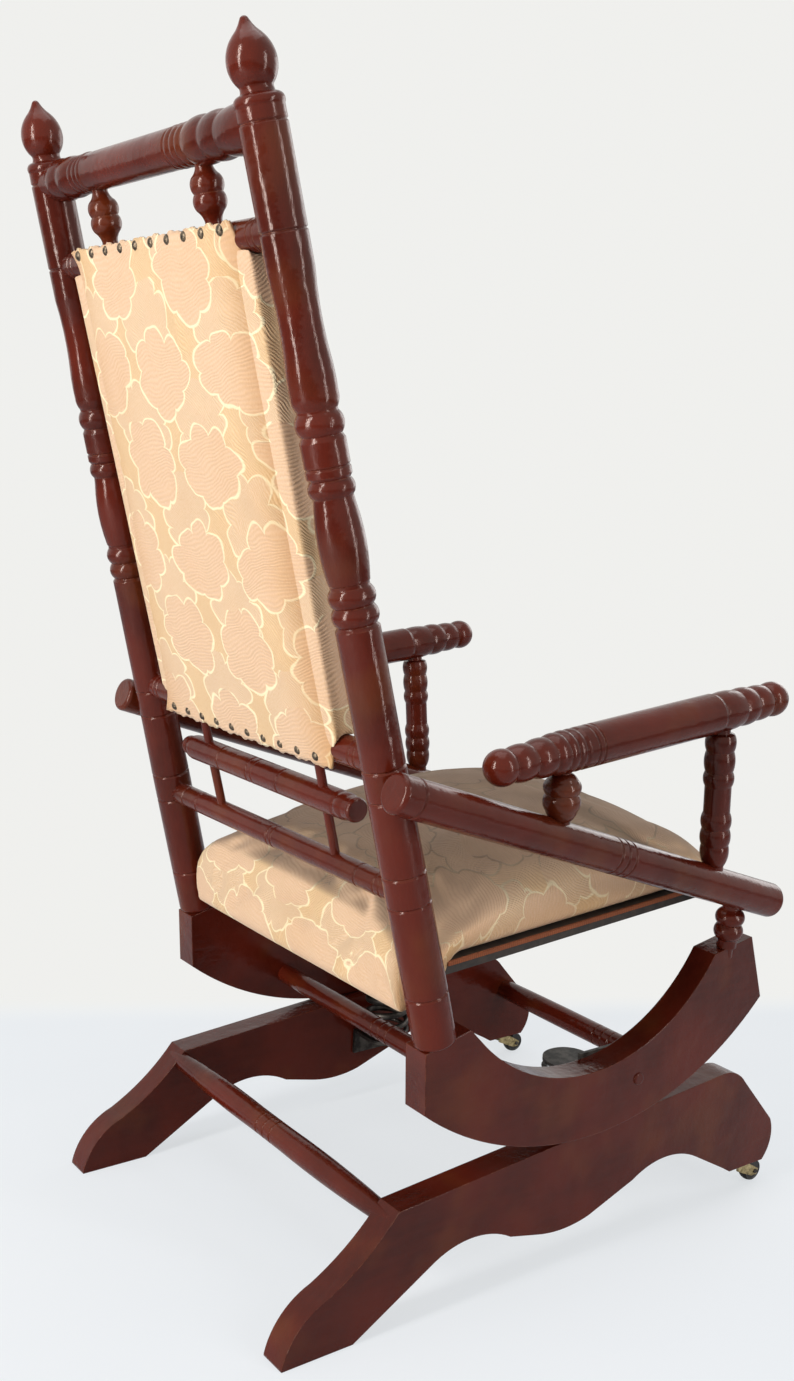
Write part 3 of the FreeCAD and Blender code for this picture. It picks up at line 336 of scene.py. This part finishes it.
def damask(name, wornAmount):
    # two layers of lobed clouds with pale outlines, ribs that change direction between them
    material, tree, shader = newMaterial(name)
    cut = addNode(tree, "ShaderNodeUVMap", uv_map="clothCut").outputs["UV"]
    place = addNode(tree, "ShaderNodeTexCoord").outputs["Object"]
    waves = addNode(tree, "ShaderNodeTexNoise")
    waves.inputs["Scale"].default_value = 16
    waves.inputs["Detail"].default_value = 2
    tree.links.new(cut, waves.inputs["Vector"])
    split = addNode(tree, "ShaderNodeSeparateXYZ")
    tree.links.new(cut, split.inputs[0])
    drift = addNode(tree, "ShaderNodeSeparateXYZ")
    tree.links.new(waves.outputs["Color"], drift.inputs[0])
    sway = cloth["sway"]
    u, v = (calc(tree, "ADD", split.outputs[axis],
                 calc(tree, "MULTIPLY_ADD", drift.outputs[axis], sway, -sway / 2)) for axis in (0, 1))
    over = cloudField(tree, u, v, 0.0, 0.0, cloth["upperLobes"])
    under = cloudField(tree, u, v, *cloth["lowerShift"], cloth["lowerLobes"])
    outsideOver = ramp(tree, over, -0.0003, 0.0003)
    insideUnder = calc(tree, "SUBTRACT", 1.0, ramp(tree, under, -0.0003, 0.0003))
    lowerLine = calc(tree, "MULTIPLY", outline(tree, under), outsideOver)
    line = calc(tree, "MAXIMUM", outline(tree, over), lowerLine)
    turns = 2 * pi / cloth["rib"]
    ribOver = calc(tree, "SINE", calc(tree, "MULTIPLY", calc(tree, "MULTIPLY_ADD", u, 0.2, v), turns))
    ribUnder = calc(tree, "SINE", calc(tree, "MULTIPLY", calc(tree, "MULTIPLY_ADD", v, -0.9, u), turns))
    fainter = calc(tree, "MULTIPLY", ribOver, 0.55)
    rib = calc(tree, "ADD", calc(tree, "MULTIPLY", fainter, calc(tree, "SUBTRACT", 1.0, outsideOver)),
               calc(tree, "MULTIPLY", ribUnder, outsideOver))
    speck = noise(tree, cut, 900, 2, 0.6, (1, 0.4, 1))
    color = mixColor(tree, insideUnder, cloth["ochre"], cloth["ground"])
    color = mixColor(tree, outsideOver, cloth["rose"], color)
    color = mixColor(tree, calc(tree, "MULTIPLY_ADD", rib, 0.11, 0.11), color, cloth["shade"])
    specked = calc(tree, "MULTIPLY", ramp(tree, speck, 0.35, 0.75), 0.26)
    color = mixColor(tree, specked, color, cloth["shade"])
    color = mixColor(tree, calc(tree, "MULTIPLY", line, 0.85), color, cloth["line"])
    soil = noise(tree, place, 9, 4, 0.6)
    soiled = calc(tree, "MULTIPLY", ramp(tree, soil, 0.42, 0.8), cloth["soil"])
    color = mixColor(tree, soiled, color, cloth["shade"])
    # painted shade stored on each cushion darkens the cloth towards the shade colour
    edgeShade = addNode(tree, "ShaderNodeAttribute", attribute_name="paintedShade").outputs["Fac"]
    color = mixColor(tree, calc(tree, "MULTIPLY", edgeShade, 0.55), color, cloth["shade"])
    if wornAmount:
        facing = addNode(tree, "ShaderNodeSeparateXYZ")  # only what faces up is worn
        tree.links.new(addNode(tree, "ShaderNodeTexCoord").outputs["Normal"], facing.inputs[0])
        upward = ramp(tree, facing.outputs[2], 0.45, 0.90)
        rubs = noise(tree, place, 16, 5, 0.6)
        rubbed = calc(tree, "MULTIPLY_ADD", ramp(tree, rubs, 0.3, 0.7), 0.14, 0.86)
        rubbed = calc(tree, "MULTIPLY", calc(tree, "MULTIPLY", upward, rubbed), wornAmount)
        bald = mixColor(tree, calc(tree, "MULTIPLY", line, 0.75), cloth["worn"], cloth["wornLine"])
        color = mixColor(tree, rubbed, color, bald)
    tree.links.new(color, shader.inputs["Base Color"])
    shader.inputs["Roughness"].default_value = cloth["roughness"]
    shader.inputs["Sheen Weight"].default_value = cloth["sheen"]
    shader.inputs["Specular IOR Level"].default_value = 0.2
    wrinkle = noise(tree, place, 30, 4, 0.55)
    height = calc(tree, "ADD", calc(tree, "MULTIPLY", rib, 0.30), calc(tree, "MULTIPLY", line, 0.40))
    height = calc(tree, "ADD", height, calc(tree, "MULTIPLY", speck, 0.22))
    height = calc(tree, "ADD", height, calc(tree, "MULTIPLY", wrinkle, 1.2))
    bump(tree, shader, height, 0.55, cloth["bumpDepth"])
    return material


def plainWeave(name, light, dark, pitch, roughness=0.9):
    material, tree, shader = newMaterial(name)
    place = addNode(tree, "ShaderNodeTexCoord").outputs["Object"]
    split = addNode(tree, "ShaderNodeSeparateXYZ")
    tree.links.new(place, split.inputs[0])
    warp = calc(tree, "SINE", calc(tree, "MULTIPLY", split.outputs[0], 2 * pi / pitch))
    weft = calc(tree, "SINE", calc(tree, "MULTIPLY", split.outputs[1], 2 * pi / pitch))
    weave = calc(tree, "MULTIPLY_ADD", calc(tree, "MULTIPLY", warp, weft), 0.5, 0.5)
    dirt = noise(tree, place, 30, 4, 0.6)
    color = mixColor(tree, weave, dark, light)
    color = mixColor(tree, calc(tree, "MULTIPLY", ramp(tree, dirt, 0.4, 0.8), 0.4), color, dark)
    tree.links.new(color, shader.inputs["Base Color"])
    shader.inputs["Roughness"].default_value = roughness
    bump(tree, shader, weave, 0.5, 0.0008)
    return material


def rawWood(name, light, dark, roughness=0.7):
    material, tree, shader = newMaterial(name)
    place = addNode(tree, "ShaderNodeTexCoord").outputs["Object"]
    grain = noise(tree, place, 90, 5, 0.6, (0.12, 1, 1))
    color = mixColor(tree, ramp(tree, grain, 0.3, 0.7), dark, light)
    tree.links.new(color, shader.inputs["Base Color"])
    shader.inputs["Roughness"].default_value = roughness
    bump(tree, shader, grain, 0.4, 0.0008)
    return material


def metal(name, light, dark, roughness, metallic=1.0, scale=80):
    material, tree, shader = newMaterial(name)
    place = addNode(tree, "ShaderNodeTexCoord").outputs["Object"]
    tarnish = noise(tree, place, scale, 5, 0.65)
    fine = noise(tree, place, scale * 5, 3, 0.6)
    color = mixColor(tree, ramp(tree, tarnish, 0.35, 0.65), dark, light)
    tree.links.new(color, shader.inputs["Base Color"])
    tree.links.new(calc(tree, "MULTIPLY_ADD", fine, 0.25, roughness - 0.12), shader.inputs["Roughness"])
    shader.inputs["Metallic"].default_value = metallic
    bump(tree, shader, fine, 0.25, 0.0004)
    return material


def blackWheel(name):
    material, tree, shader = newMaterial(name)
    place = addNode(tree, "ShaderNodeTexCoord").outputs["Object"]
    scuff = noise(tree, place, 160, 5, 0.7)
    color = mixColor(tree, ramp(tree, scuff, 0.5, 0.8), (0.012, 0.012, 0.012), (0.06, 0.055, 0.05))
    tree.links.new(color, shader.inputs["Base Color"])
    tree.links.new(calc(tree, "MULTIPLY_ADD", scuff, 0.3, 0.25), shader.inputs["Roughness"])
    bump(tree, shader, scuff, 0.3, 0.0004)
    return material


materials = {
    "upright": glossPaint("paintUpright", 2),
    "lengthwise": glossPaint("paintLengthwise", 1),
    "crosswise": glossPaint("paintCrosswise", 0),
    "frameWood": rawWood("darkSeatWood", (0.035, 0.024, 0.017), (0.014, 0.010, 0.008)),
    "welt": plainWeave("rustWelt", (0.36, 0.10, 0.03), (0.13, 0.035, 0.014), 0.0025),
    "webbing": plainWeave("juteWebbing", (0.30, 0.22, 0.13), (0.12, 0.085, 0.05), 0.006),
    "tack": metal("antiqueTack", (0.20, 0.15, 0.10), (0.035, 0.028, 0.022), 0.38, 0.85, 400),
    "spring": metal("oiledSpring", (0.10, 0.09, 0.08), (0.03, 0.027, 0.025), 0.45),
    "brass": metal("casterBrass", (0.62, 0.50, 0.26), (0.22, 0.17, 0.08), 0.34, 1.0, 260),
    "wheel": blackWheel("wheelBlack"),
    "seatCloth": damask("seatDamask", wornAmount=1.0),
    "backCloth": damask("backDamask", wornAmount=0.0),
}
print("materials ready")


def paintNode(name):
    # brush marks run the long way of each turned or sawn piece
    lengthwiseWords = "runner", "rocker", "side_rail", "arm"
    crosswiseWords = "stretcher", "crest_rail", "pad_rail", "back_rail", "free_spindle", "plug"
    if any(word in name for word in lengthwiseWords) and "spindle" not in name:
        return "crosswise" if "stretcher" in name else "lengthwise"
    return "crosswise" if any(word in name for word in crosswiseWords) else "upright"


nodeFinish = {
    "caster_socket": "brass",
    "caster_fork": "brass",
    "caster_axle": "spring",
    "caster_wheel": "wheel",
    "clip": "spring",
    "coil_spring": "spring",
    "seat_bar": "frameWood",
    "rear_bar": "frameWood",
    "front_bar": "frameWood",
    "seat_dowel": "frameWood",
    "seat_welt": "welt",
    "webbing": "webbing",
    "tacks": "tack",
}
for name, node in nodes.items():
    finish = next((value for key, value in nodeFinish.items() if key in name), None) or paintNode(name)
    if len(node.material_slots) == 0:
        node.data.materials.append(None)
    for slotItem in node.material_slots:
        slotItem.link = "OBJECT"
        slotItem.material = materials[finish]
print("frame painted")


# where the pattern lies on each cushion, and its painted shade

def writeCut(piece, cutOf, paintedShadeOf):
    # the flat place of every corner on the cloth, and how much painted shade each point gets
    mesh = piece.data
    layer = mesh.uv_layers.new(name="clothCut")
    for loop, corner in zip(mesh.loops, layer.data):
        vertex = mesh.vertices[loop.vertex_index]
        corner.uv = cutOf(vertex.co, vertex.normal)
    tone = mesh.attributes.new("paintedShade", "FLOAT", "POINT")
    for vertex, item in zip(mesh.vertices, tone.data):
        item.value = min(1.0, max(0.0, paintedShadeOf(vertex.co, vertex.normal)))


# stuffing: even faces, round edges, then a short inflation

def inflate(piece, settings, held):
    # held says how firmly each point is pinned, from 0 to 1
    onlySelect(piece)
    remesh = piece.modifiers.new("evenFaces", "REMESH")
    remesh.mode = "VOXEL"
    remesh.voxel_size = settings["voxel"]
    bpy.ops.object.modifier_apply(modifier=remesh.name)
    loose = piece.vertex_groups.new(name="loose")
    pinned = piece.vertex_groups.new(name="pinned")
    for vertex in piece.data.vertices:
        grip = held(vertex.co)
        loose.add([vertex.index], 1 - grip, "REPLACE")
        pinned.add([vertex.index], grip, "REPLACE")
    soften = piece.modifiers.new("roundEdges", "SMOOTH")
    soften.factor = 0.5
    soften.iterations = settings["rounding"]
    soften.vertex_group = "loose"
    bpy.ops.object.modifier_apply(modifier=soften.name)
    bpy.context.scene.frame_set(1)
    start = [vertex.co.copy() for vertex in piece.data.vertices]
    swell = piece.modifiers.new("filling", "CLOTH")
    casing = swell.settings
    casing.quality = 5
    casing.mass = 0.3
    casing.tension_stiffness = settings["stiffness"]
    casing.compression_stiffness = settings["stiffness"]
    casing.shear_stiffness = settings["stiffness"] * 0.4
    casing.bending_stiffness = settings["bending"]
    casing.use_pressure = True
    casing.uniform_pressure_force = settings["pressure"]
    casing.vertex_group_mass = "pinned"
    casing.effector_weights.gravity = 0
    lastFrame = 20
    swell.point_cache.frame_start = 1
    swell.point_cache.frame_end = lastFrame
    for number in range(1, lastFrame + 1):
        bpy.context.scene.frame_set(number)
    onlySelect(piece)
    bpy.ops.object.modifier_apply(modifier=swell.name)
    for vertex, before in zip(piece.data.vertices, start):  # no point moves further than the cap
        move = vertex.co - before
        if move.length > settings["cap"]:
            vertex.co = before + move * (settings["cap"] / move.length)
    bpy.context.scene.frame_set(1)
    settle = piece.modifiers.new("settle", "SMOOTH")
    settle.factor = 0.5
    settle.iterations = settings["settling"]
    settle.vertex_group = "loose"
    onlySelect(piece)
    bpy.ops.object.modifier_apply(modifier=settle.name)
    print("filled", piece.name)


seat = {
    "voxel": 0.0065,
    "rounding": 14,
    "stiffness": 12,
    "bending": 0.5,
    "pressure": 3.4,
    "cap": 0.012,
    "settling": 1,
    "rise": radians(4.08),
    "height": 0.3451,
    "half": 0.194,
    "rear": 0.160,
    "front": -0.286,
    "frameRear": 0.100,
    "rollDrop": -0.040,
    "rollStep": 0.006,
    "topRear": 0.152,
    "edgeHeight": 0.036,
    "edgeRise": 0.015,
    "edgeSwell": 0.056,
    "crown": 0.015,
    "crownRise": 0.007,
    "slump": 0.016,
    "slumpFrom": 0.150,
    "noseFrom": -0.204,
    "noseDrop": 0.010,
    "dipFrom": -0.262,
    "frontDip": 0.013,
    "cornerPull": 0.010,
    "rearBelly": 0.010,
    "patternShift": 0.020,
    "wrapHeight": 0.038,
    "shadeBelow": 0.034,
    "cuts": 47,
    "fill": 0.7,
}


def seatToWorld(x, along, height):
    # along runs to the back over the seat frame, height stands square on it
    rise = seat["rise"]
    return Vector((x, along * cos(rise) + height * sin(rise),
                   seat["height"] - along * sin(rise) + height * cos(rise)))


def worldToSeat(point):
    rise = seat["rise"]
    z = point.z - seat["height"]
    return Vector((point.x, point.y * cos(rise) - z * sin(rise), point.y * sin(rise) + z * cos(rise)))


def seatTop(x, along):
    # crowned across and along, falling away over the front edge
    share = (seat["topRear"] - along) / (seat["topRear"] - seat["noseFrom"])
    share = min(1.0, max(0.0, share))
    edge = seat["edgeHeight"] + seat["edgeRise"] * share + seat["edgeSwell"] * share * (1 - share)
    crown = (seat["crown"] + seat["crownRise"] * share) * (1 - (x / seat["half"]) ** 2)
    outer = max(0.0, (abs(x) - seat["slumpFrom"]) / (seat["half"] - seat["slumpFrom"]))
    over = max(0.0, (seat["noseFrom"] - along) / (seat["noseFrom"] - seat["front"]))
    return (edge + crown - seat["slump"] * outer ** 2) * (1 - over ** 2) - seat["noseDrop"] * over ** 2


def seatBottom(along):
    # flat on the frame, down behind it at the rear roll and a little under at the front
    behind = min(1.0, max(0.0, (along - seat["frameRear"]) / seat["rollStep"]))
    atFront = max(0.0, (seat["dipFrom"] - along) / (seat["dipFrom"] - seat["front"]))
    return seat["rollDrop"] * behind - seat["frontDip"] * atFront


def makeSeat():
    clearSelection()
    bpy.ops.mesh.primitive_cube_add(size=2)
    cushion = bpy.context.object
    cushion.name = "seatCushion"
    bpy.ops.object.mode_set(mode="EDIT")
    bpy.ops.mesh.subdivide(number_cuts=seat["cuts"])
    bpy.ops.object.mode_set(mode="OBJECT")
    for vertex in cushion.data.vertices:
        a, b, c = vertex.co
        along = seat["front"] + (seat["rear"] - seat["front"]) * (b + 1) / 2
        x = seat["half"] * a
        low, high = seatBottom(along), seatTop(x, along)
        height = low + (high - low) * (c + 1) / 2
        belly = 1 - c * c
        atRear = max(0.0, (along - seat["frameRear"]) / (seat["rear"] - seat["frameRear"]))
        pull = seat["cornerPull"] * (1 - belly) * (1 - 0.5 * atRear)  # upper and lower edges drawn in
        x -= pull * a ** 9
        along += seat["rearBelly"] * atRear * belly * (1 - 0.6 * a ** 6)
        vertex.co = (x, along, height)
    faceOutwards(cushion)

    def held(local):
        onFrame = local.z < 0.003 and local.y < 0.102 and abs(local.x) < 0.185
        underRoll = local.z < -0.034 and local.y > 0.1
        return 1.0 if onFrame or underRoll else 0.0

    inflate(cushion, seat, held)
    for vertex in cushion.data.vertices:
        vertex.co = seatToWorld(*vertex.co)
    finer = cushion.modifiers.new("finer", "SUBSURF")
    finer.levels = finer.render_levels = 1
    applyAll(cushion)
    bpy.ops.object.shade_smooth()

    def cutOf(point, normal):
        local = worldToSeat(point)
        sideways = sqrt(normal.x ** 2 + normal.y ** 2) + 1e-6
        drop = max(0.0, seat["wrapHeight"] - local.z)  # the cloth runs on down the sides
        return (local.x + drop * normal.x / sideways,
                local.y - seat["patternShift"] + drop * normal.y / sideways)

    # painted shade: the seat's sides darker low down, below shadeBelow
    def paintedShadeOf(point, normal):
        local = worldToSeat(point)
        low = max(0.0, (seat["shadeBelow"] - local.z) / seat["shadeBelow"])
        return 1.3 * (low * max(0.0, abs(normal.x) - 0.3))

    writeCut(cushion, cutOf, paintedShadeOf)
    finishPiece(cushion, "rocker_frame", materials["seatCloth"], "damask", "seat_cushion")


back = {
    "voxel": 0.006,
    "rounding": 12,
    "stiffness": 24,
    "bending": 1.2,
    "pressure": 2.2,
    "cap": 0.0035,
    "settling": 12,
    "bulge": 0.007,
    "roll": 0.015,
    "rollWidth": 0.026,
    "clothThick": 0.0022,
    "clothSink": 0.0012,
    "coverHalf": 0.1575,
    "coverTaper": 0.0075,
    "tuck": 0.003,
    "patternShift": 0.03,
    "edgeShade": 0.95,
    "shadeFrom": 0.100,
    "shadeWidth": 0.05,
    "columns": 80,
    "rows": 110,
    "flatSize": (0.318, 0.457),
    "fill": 0.8,
}


def backCut(point, normal):
    # the cloth wraps round the pad's long sides
    place = worldToBack(point)
    side = 1 if place.x > 0 else -1
    return (place.x - side * min(0.0, place.y - 0.010), place.z + back["patternShift"])


def makeBackPad():
    pad = copyOfNode("back_pad", "backPad")
    for vertex in pad.data.vertices:
        vertex.co = worldToBack(vertex.co)

    def held(place):
        nearRail = min(abs(place.z - 0.270), abs(place.z - 0.700)) < 0.016 and place.y > -0.0145
        return 1.0 if nearRail or place.y > 0.010 else 0.0

    inflate(pad, back, held)
    for vertex in pad.data.vertices:
        vertex.co = backToWorld(*vertex.co)
    finer = pad.modifiers.new("finer", "SUBSURF")
    finer.levels = finer.render_levels = 1
    applyAll(pad)
    bpy.ops.object.shade_smooth()

    # painted shade on the pad's sides, close beside the cover's long edges
    def paintedShadeOf(point, normal):
        place = worldToBack(point)
        besideCover = max(0.0, 1 - abs(place.y - 0.008) / 0.010)
        return max(0.0, (abs(place.x) - 0.150) / 0.02) * besideCover * 0.35

    writeCut(pad, backCut, paintedShadeOf)
    finishPiece(pad, "rocker_frame", materials["backCloth"], "damask", "back_pad")


def makeBackCover():
    clearSelection()
    bpy.ops.mesh.primitive_grid_add(x_subdivisions=back["columns"], y_subdivisions=back["rows"], size=1)
    cover = bpy.context.object
    cover.name = "backCover"
    low, high = backFrame["padLow"], backFrame["padHigh"]
    for vertex in cover.data.vertices:
        across, along = vertex.co.x * 2, vertex.co.y + 0.5
        up = low + along * (high - low)
        half = back["coverHalf"] - back["coverTaper"] * along
        fromEdge = (1 - abs(across)) * half
        roll = max(0.0, 1 - fromEdge / back["rollWidth"])  # 1 at the long edges
        fromMiddle = abs(2 * along - 1)  # 1 at the two tacked edges
        inward = 1 - min(1.0, fromMiddle) ** 6
        bulge = back["bulge"] * (1 - fromMiddle ** 4) * (1 - across ** 4)
        out = backFrame["coverOut"] - back["clothSink"] + bulge - back["roll"] * roll ** 2 * inward
        x = across * half - (back["tuck"] if across > 0 else -back["tuck"]) * roll ** 3
        ragged = 0.0010 * sin(across * 31) + 0.0009 * sin(across * 73 + 1)
        up += ragged * fromMiddle ** 60
        vertex.co = backToWorld(x, out, up)
    thick = cover.modifiers.new("cloth", "SOLIDIFY")
    thick.thickness = back["clothThick"]
    thick.offset = 0
    applyAll(cover)
    faceOutwards(cover)
    onlySelect(cover)
    bpy.ops.object.shade_smooth()

    # painted shade: the cover darker towards its long edges, where it rolls away
    def paintedShadeOf(point, normal):
        place = worldToBack(point)
        return back["edgeShade"] * max(0.0, (abs(place.x) - back["shadeFrom"]) / back["shadeWidth"]) ** 1.5

    writeCut(cover, backCut, paintedShadeOf)
    finishPiece(cover, "rocker_frame", materials["backCloth"], "damask", "back_cover")


makeSeat()
makeBackPad()
makeBackCover()
print("upholstery ready")


# coil springs between runner and rocker

coil = {
    "radius": 0.024,
    "wire": 0.0032,
    "turns": 6,
    "foot": 0.0973,
    "top": 0.1777,
    "x": 0.158,
    "y": -0.092,
    "wireCorners": 14,
    "stepsPerTurn": 36,
    "endPinch": 0.4,
}


def makeCoil(side, sign):
    clearSelection()
    bpy.ops.mesh.primitive_circle_add(vertices=coil["wireCorners"], radius=coil["wire"],
                                      fill_type="NOTHING", location=(coil["radius"], 0, 0),
                                      rotation=(pi / 2, 0, 0))
    spring = bpy.context.object
    spring.name = side + "CoilSpring"
    settlePlace(spring)
    total = coil["top"] - coil["foot"]
    turns = spring.modifiers.new("turns", "SCREW")
    turns.axis = "Z"
    turns.angle = 2 * pi
    turns.screw_offset = total / coil["turns"]
    turns.iterations = coil["turns"]
    turns.steps = turns.render_steps = coil["stepsPerTurn"]
    turns.use_merge_vertices = True
    applyAll(spring)
    onlySelect(spring)
    bpy.ops.object.mode_set(mode="EDIT")
    bpy.ops.mesh.select_all(action="DESELECT")
    bpy.ops.mesh.select_non_manifold()
    bpy.ops.mesh.edge_face_add()
    bpy.ops.object.mode_set(mode="OBJECT")
    for vertex in spring.data.vertices:
        share = min(1.0, max(0.0, vertex.co.z / total))
        vertex.co.z -= coil["endPinch"] * total * sin(2 * pi * share) / (2 * pi)  # end turns lie closer
        if sign < 0:
            vertex.co.x, vertex.co.y = -vertex.co.x, -vertex.co.y
        vertex.co += Vector((sign * coil["x"], coil["y"], coil["foot"]))
    faceOutwards(spring)
    onlySelect(spring)
    bpy.ops.object.shade_smooth()
    spring.data.materials.append(materials["spring"])
    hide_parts(side + "_coil_spring")
    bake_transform(spring)


for side, sign in (("left", 1), ("right", -1)):
    makeCoil(side, sign)
print("springs ready")


# floor, light and camera

studio = {
    "floorColor": (0.67, 0.70, 0.75),
    "floorFoldLight": (0.73, 0.75, 0.79),
    "floorGlow": (0.94, 0.975, 1.0),
    "glowShare": 0.66,
    "wallColor": (0.87, 0.87, 0.85),
    "worldColor": (1.0, 0.985, 0.96),
    "worldStrength": 0.24,
    "keyPower": 66,
    "skyPower": 26,
    "stripPower": 26,
    "frontPower": 16,
    "wallFoot": 0.448,
    "wallFacing": (0.879, -0.476, 0.0),
    "floorSize": 16,
    "fadeFrom": 1.2,
    "fadeTo": 2.6,
}

# name, place, aim, size, power and colour of each soft lamp
lamps = (
    ("keyWindow", (-0.25, 2.5, 1.25), (0, 0, 0.65), (0.30, 2.3), studio["keyPower"], (1.0, 0.975, 0.94)),
    ("skyPanel", (0.2, 0.2, 3.0), (0, 0, 0.4), (2.2, 2.2), studio["skyPower"], (0.97, 0.98, 1.0)),
    ("sideStrip", (-2.3, -0.9, 1.2), (0, 0, 0.65), (0.18, 2.2), studio["stripPower"], (1.0, 0.96, 0.95)),
    ("frontPanel", (0.7, -2.8, 1.5), (0, 0, 0.5), (1.6, 1.6), studio["frontPower"], (1, 1, 1)),
)


def makeFloor():
    # pale floor that fades into the wall behind the chair and, further out, on every side
    clearSelection()
    bpy.ops.mesh.primitive_plane_add(size=studio["floorSize"], location=(0, 0, -0.0005))
    floor = bpy.context.object
    settlePlace(floor)
    floor.name = "studioFloor"
    material, tree, shader = newMaterial("studioFloor")
    place = addNode(tree, "ShaderNodeTexCoord").outputs["Object"]
    # lighter patches at random, painted light on the folds of a floor cloth
    tone = ramp(tree, noise(tree, place, 1.6, 3, 0.5), 0.3, 0.7)
    floorTone = mixColor(tree, tone, studio["floorColor"], studio["floorFoldLight"])
    tree.links.new(floorTone, shader.inputs["Base Color"])
    shader.inputs["Roughness"].default_value = 0.9
    along = addNode(tree, "ShaderNodeVectorMath", operation="DOT_PRODUCT")
    tree.links.new(place, along.inputs[0])
    along.inputs[1].default_value = studio["wallFacing"]
    reach = addNode(tree, "ShaderNodeVectorMath", operation="LENGTH")
    tree.links.new(place, reach.inputs[0])
    atWall = ramp(tree, along.outputs["Value"], studio["wallFoot"], studio["wallFoot"] + 0.10)
    farOut = ramp(tree, reach.outputs["Value"], studio["fadeFrom"], studio["fadeTo"])
    beyond = calc(tree, "MAXIMUM", atWall, farOut)
    seen = addNode(tree, "ShaderNodeLightPath").outputs["Is Camera Ray"]
    glow = addNode(tree, "ShaderNodeEmission")
    tree.links.new(mixColor(tree, beyond, studio["floorGlow"], studio["wallColor"]), glow.inputs["Color"])
    glow.inputs["Strength"].default_value = 1.0
    share = calc(tree, "MULTIPLY_ADD", beyond, 1 - studio["glowShare"], studio["glowShare"])
    swap = addNode(tree, "ShaderNodeMixShader")
    tree.links.new(calc(tree, "MULTIPLY", share, seen), swap.inputs[0])
    tree.links.new(shader.outputs["BSDF"], swap.inputs[1])
    tree.links.new(glow.outputs[0], swap.inputs[2])
    output = next(node for node in tree.nodes if node.type == "OUTPUT_MATERIAL")
    tree.links.new(swap.outputs[0], output.inputs["Surface"])
    floor.data.materials.append(material)


def makeWorld():
    # the wall as camera and gloss see it, a weaker light for everything else
    world = bpy.data.worlds.new("studioWorld")
    bpy.context.scene.world = world
    world.use_nodes = True
    tree = world.node_tree
    tree.nodes.clear()
    output = tree.nodes.new("ShaderNodeOutputWorld")
    ambient = tree.nodes.new("ShaderNodeBackground")
    ambient.inputs["Color"].default_value = (*studio["worldColor"], 1)
    ambient.inputs["Strength"].default_value = studio["worldStrength"]
    seen = tree.nodes.new("ShaderNodeBackground")
    seen.inputs["Color"].default_value = (*studio["wallColor"], 1)
    seen.inputs["Strength"].default_value = 1.0
    path = tree.nodes.new("ShaderNodeLightPath")
    direct = tree.nodes.new("ShaderNodeMixShader")
    mirrored = calc(tree, "MAXIMUM", path.outputs["Is Glossy Ray"], path.outputs["Is Transmission Ray"])
    tree.links.new(calc(tree, "MAXIMUM", path.outputs["Is Camera Ray"], mirrored), direct.inputs[0])
    tree.links.new(ambient.outputs[0], direct.inputs[1])
    tree.links.new(seen.outputs[0], direct.inputs[2])
    tree.links.new(direct.outputs[0], output.inputs["Surface"])


def addLamp(name, place, target, size, power, color):
    clearSelection()
    bpy.ops.object.light_add(type="AREA", location=place)
    lamp = bpy.context.object
    lamp.name = name
    lamp.data.shape = "RECTANGLE"
    lamp.data.size, lamp.data.size_y = size
    lamp.data.energy = power
    lamp.data.color = color
    lamp.visible_camera = False
    lamp.rotation_euler = (Vector(target) - Vector(place)).to_track_quat("-Z", "Y").to_euler()


photoView = {
    "place": (-1.1735, 0.9087, 0.7991),
    "forward": (0.78765, -0.58538, -0.19217),
    "right": (-0.58881, -0.80702, 0.04498),
    "focal": 1447.4,
    "frame": (794, 1381),
    "centre": (392.8, 730.0),
    "sensor": 36,
}


def makeCamera():
    clearSelection()
    data = bpy.data.cameras.new("photoCamera")
    camera = bpy.data.objects.new("photoCamera", data)
    bpy.context.collection.objects.link(camera)
    forward = Vector(photoView["forward"]).normalized()
    right = Vector(photoView["right"]).normalized()
    upward = right.cross(forward)
    turn = Matrix((right, upward, -forward)).transposed()
    camera.matrix_world = Matrix.Translation(photoView["place"]) @ turn.to_4x4()
    width, height = photoView["frame"]
    data.sensor_fit = "VERTICAL"
    data.sensor_height = photoView["sensor"]
    data.lens = photoView["sensor"] * photoView["focal"] / height
    data.shift_x = (width / 2 - photoView["centre"][0]) / height
    data.shift_y = (photoView["centre"][1] - height / 2) / height
    data.clip_end = 60
    bpy.context.scene.camera = camera


makeFloor()
makeWorld()
for lampRow in lamps:
    addLamp(*lampRow)
makeCamera()
bpy.context.scene.view_settings.view_transform = "Standard"
print("studio ready")
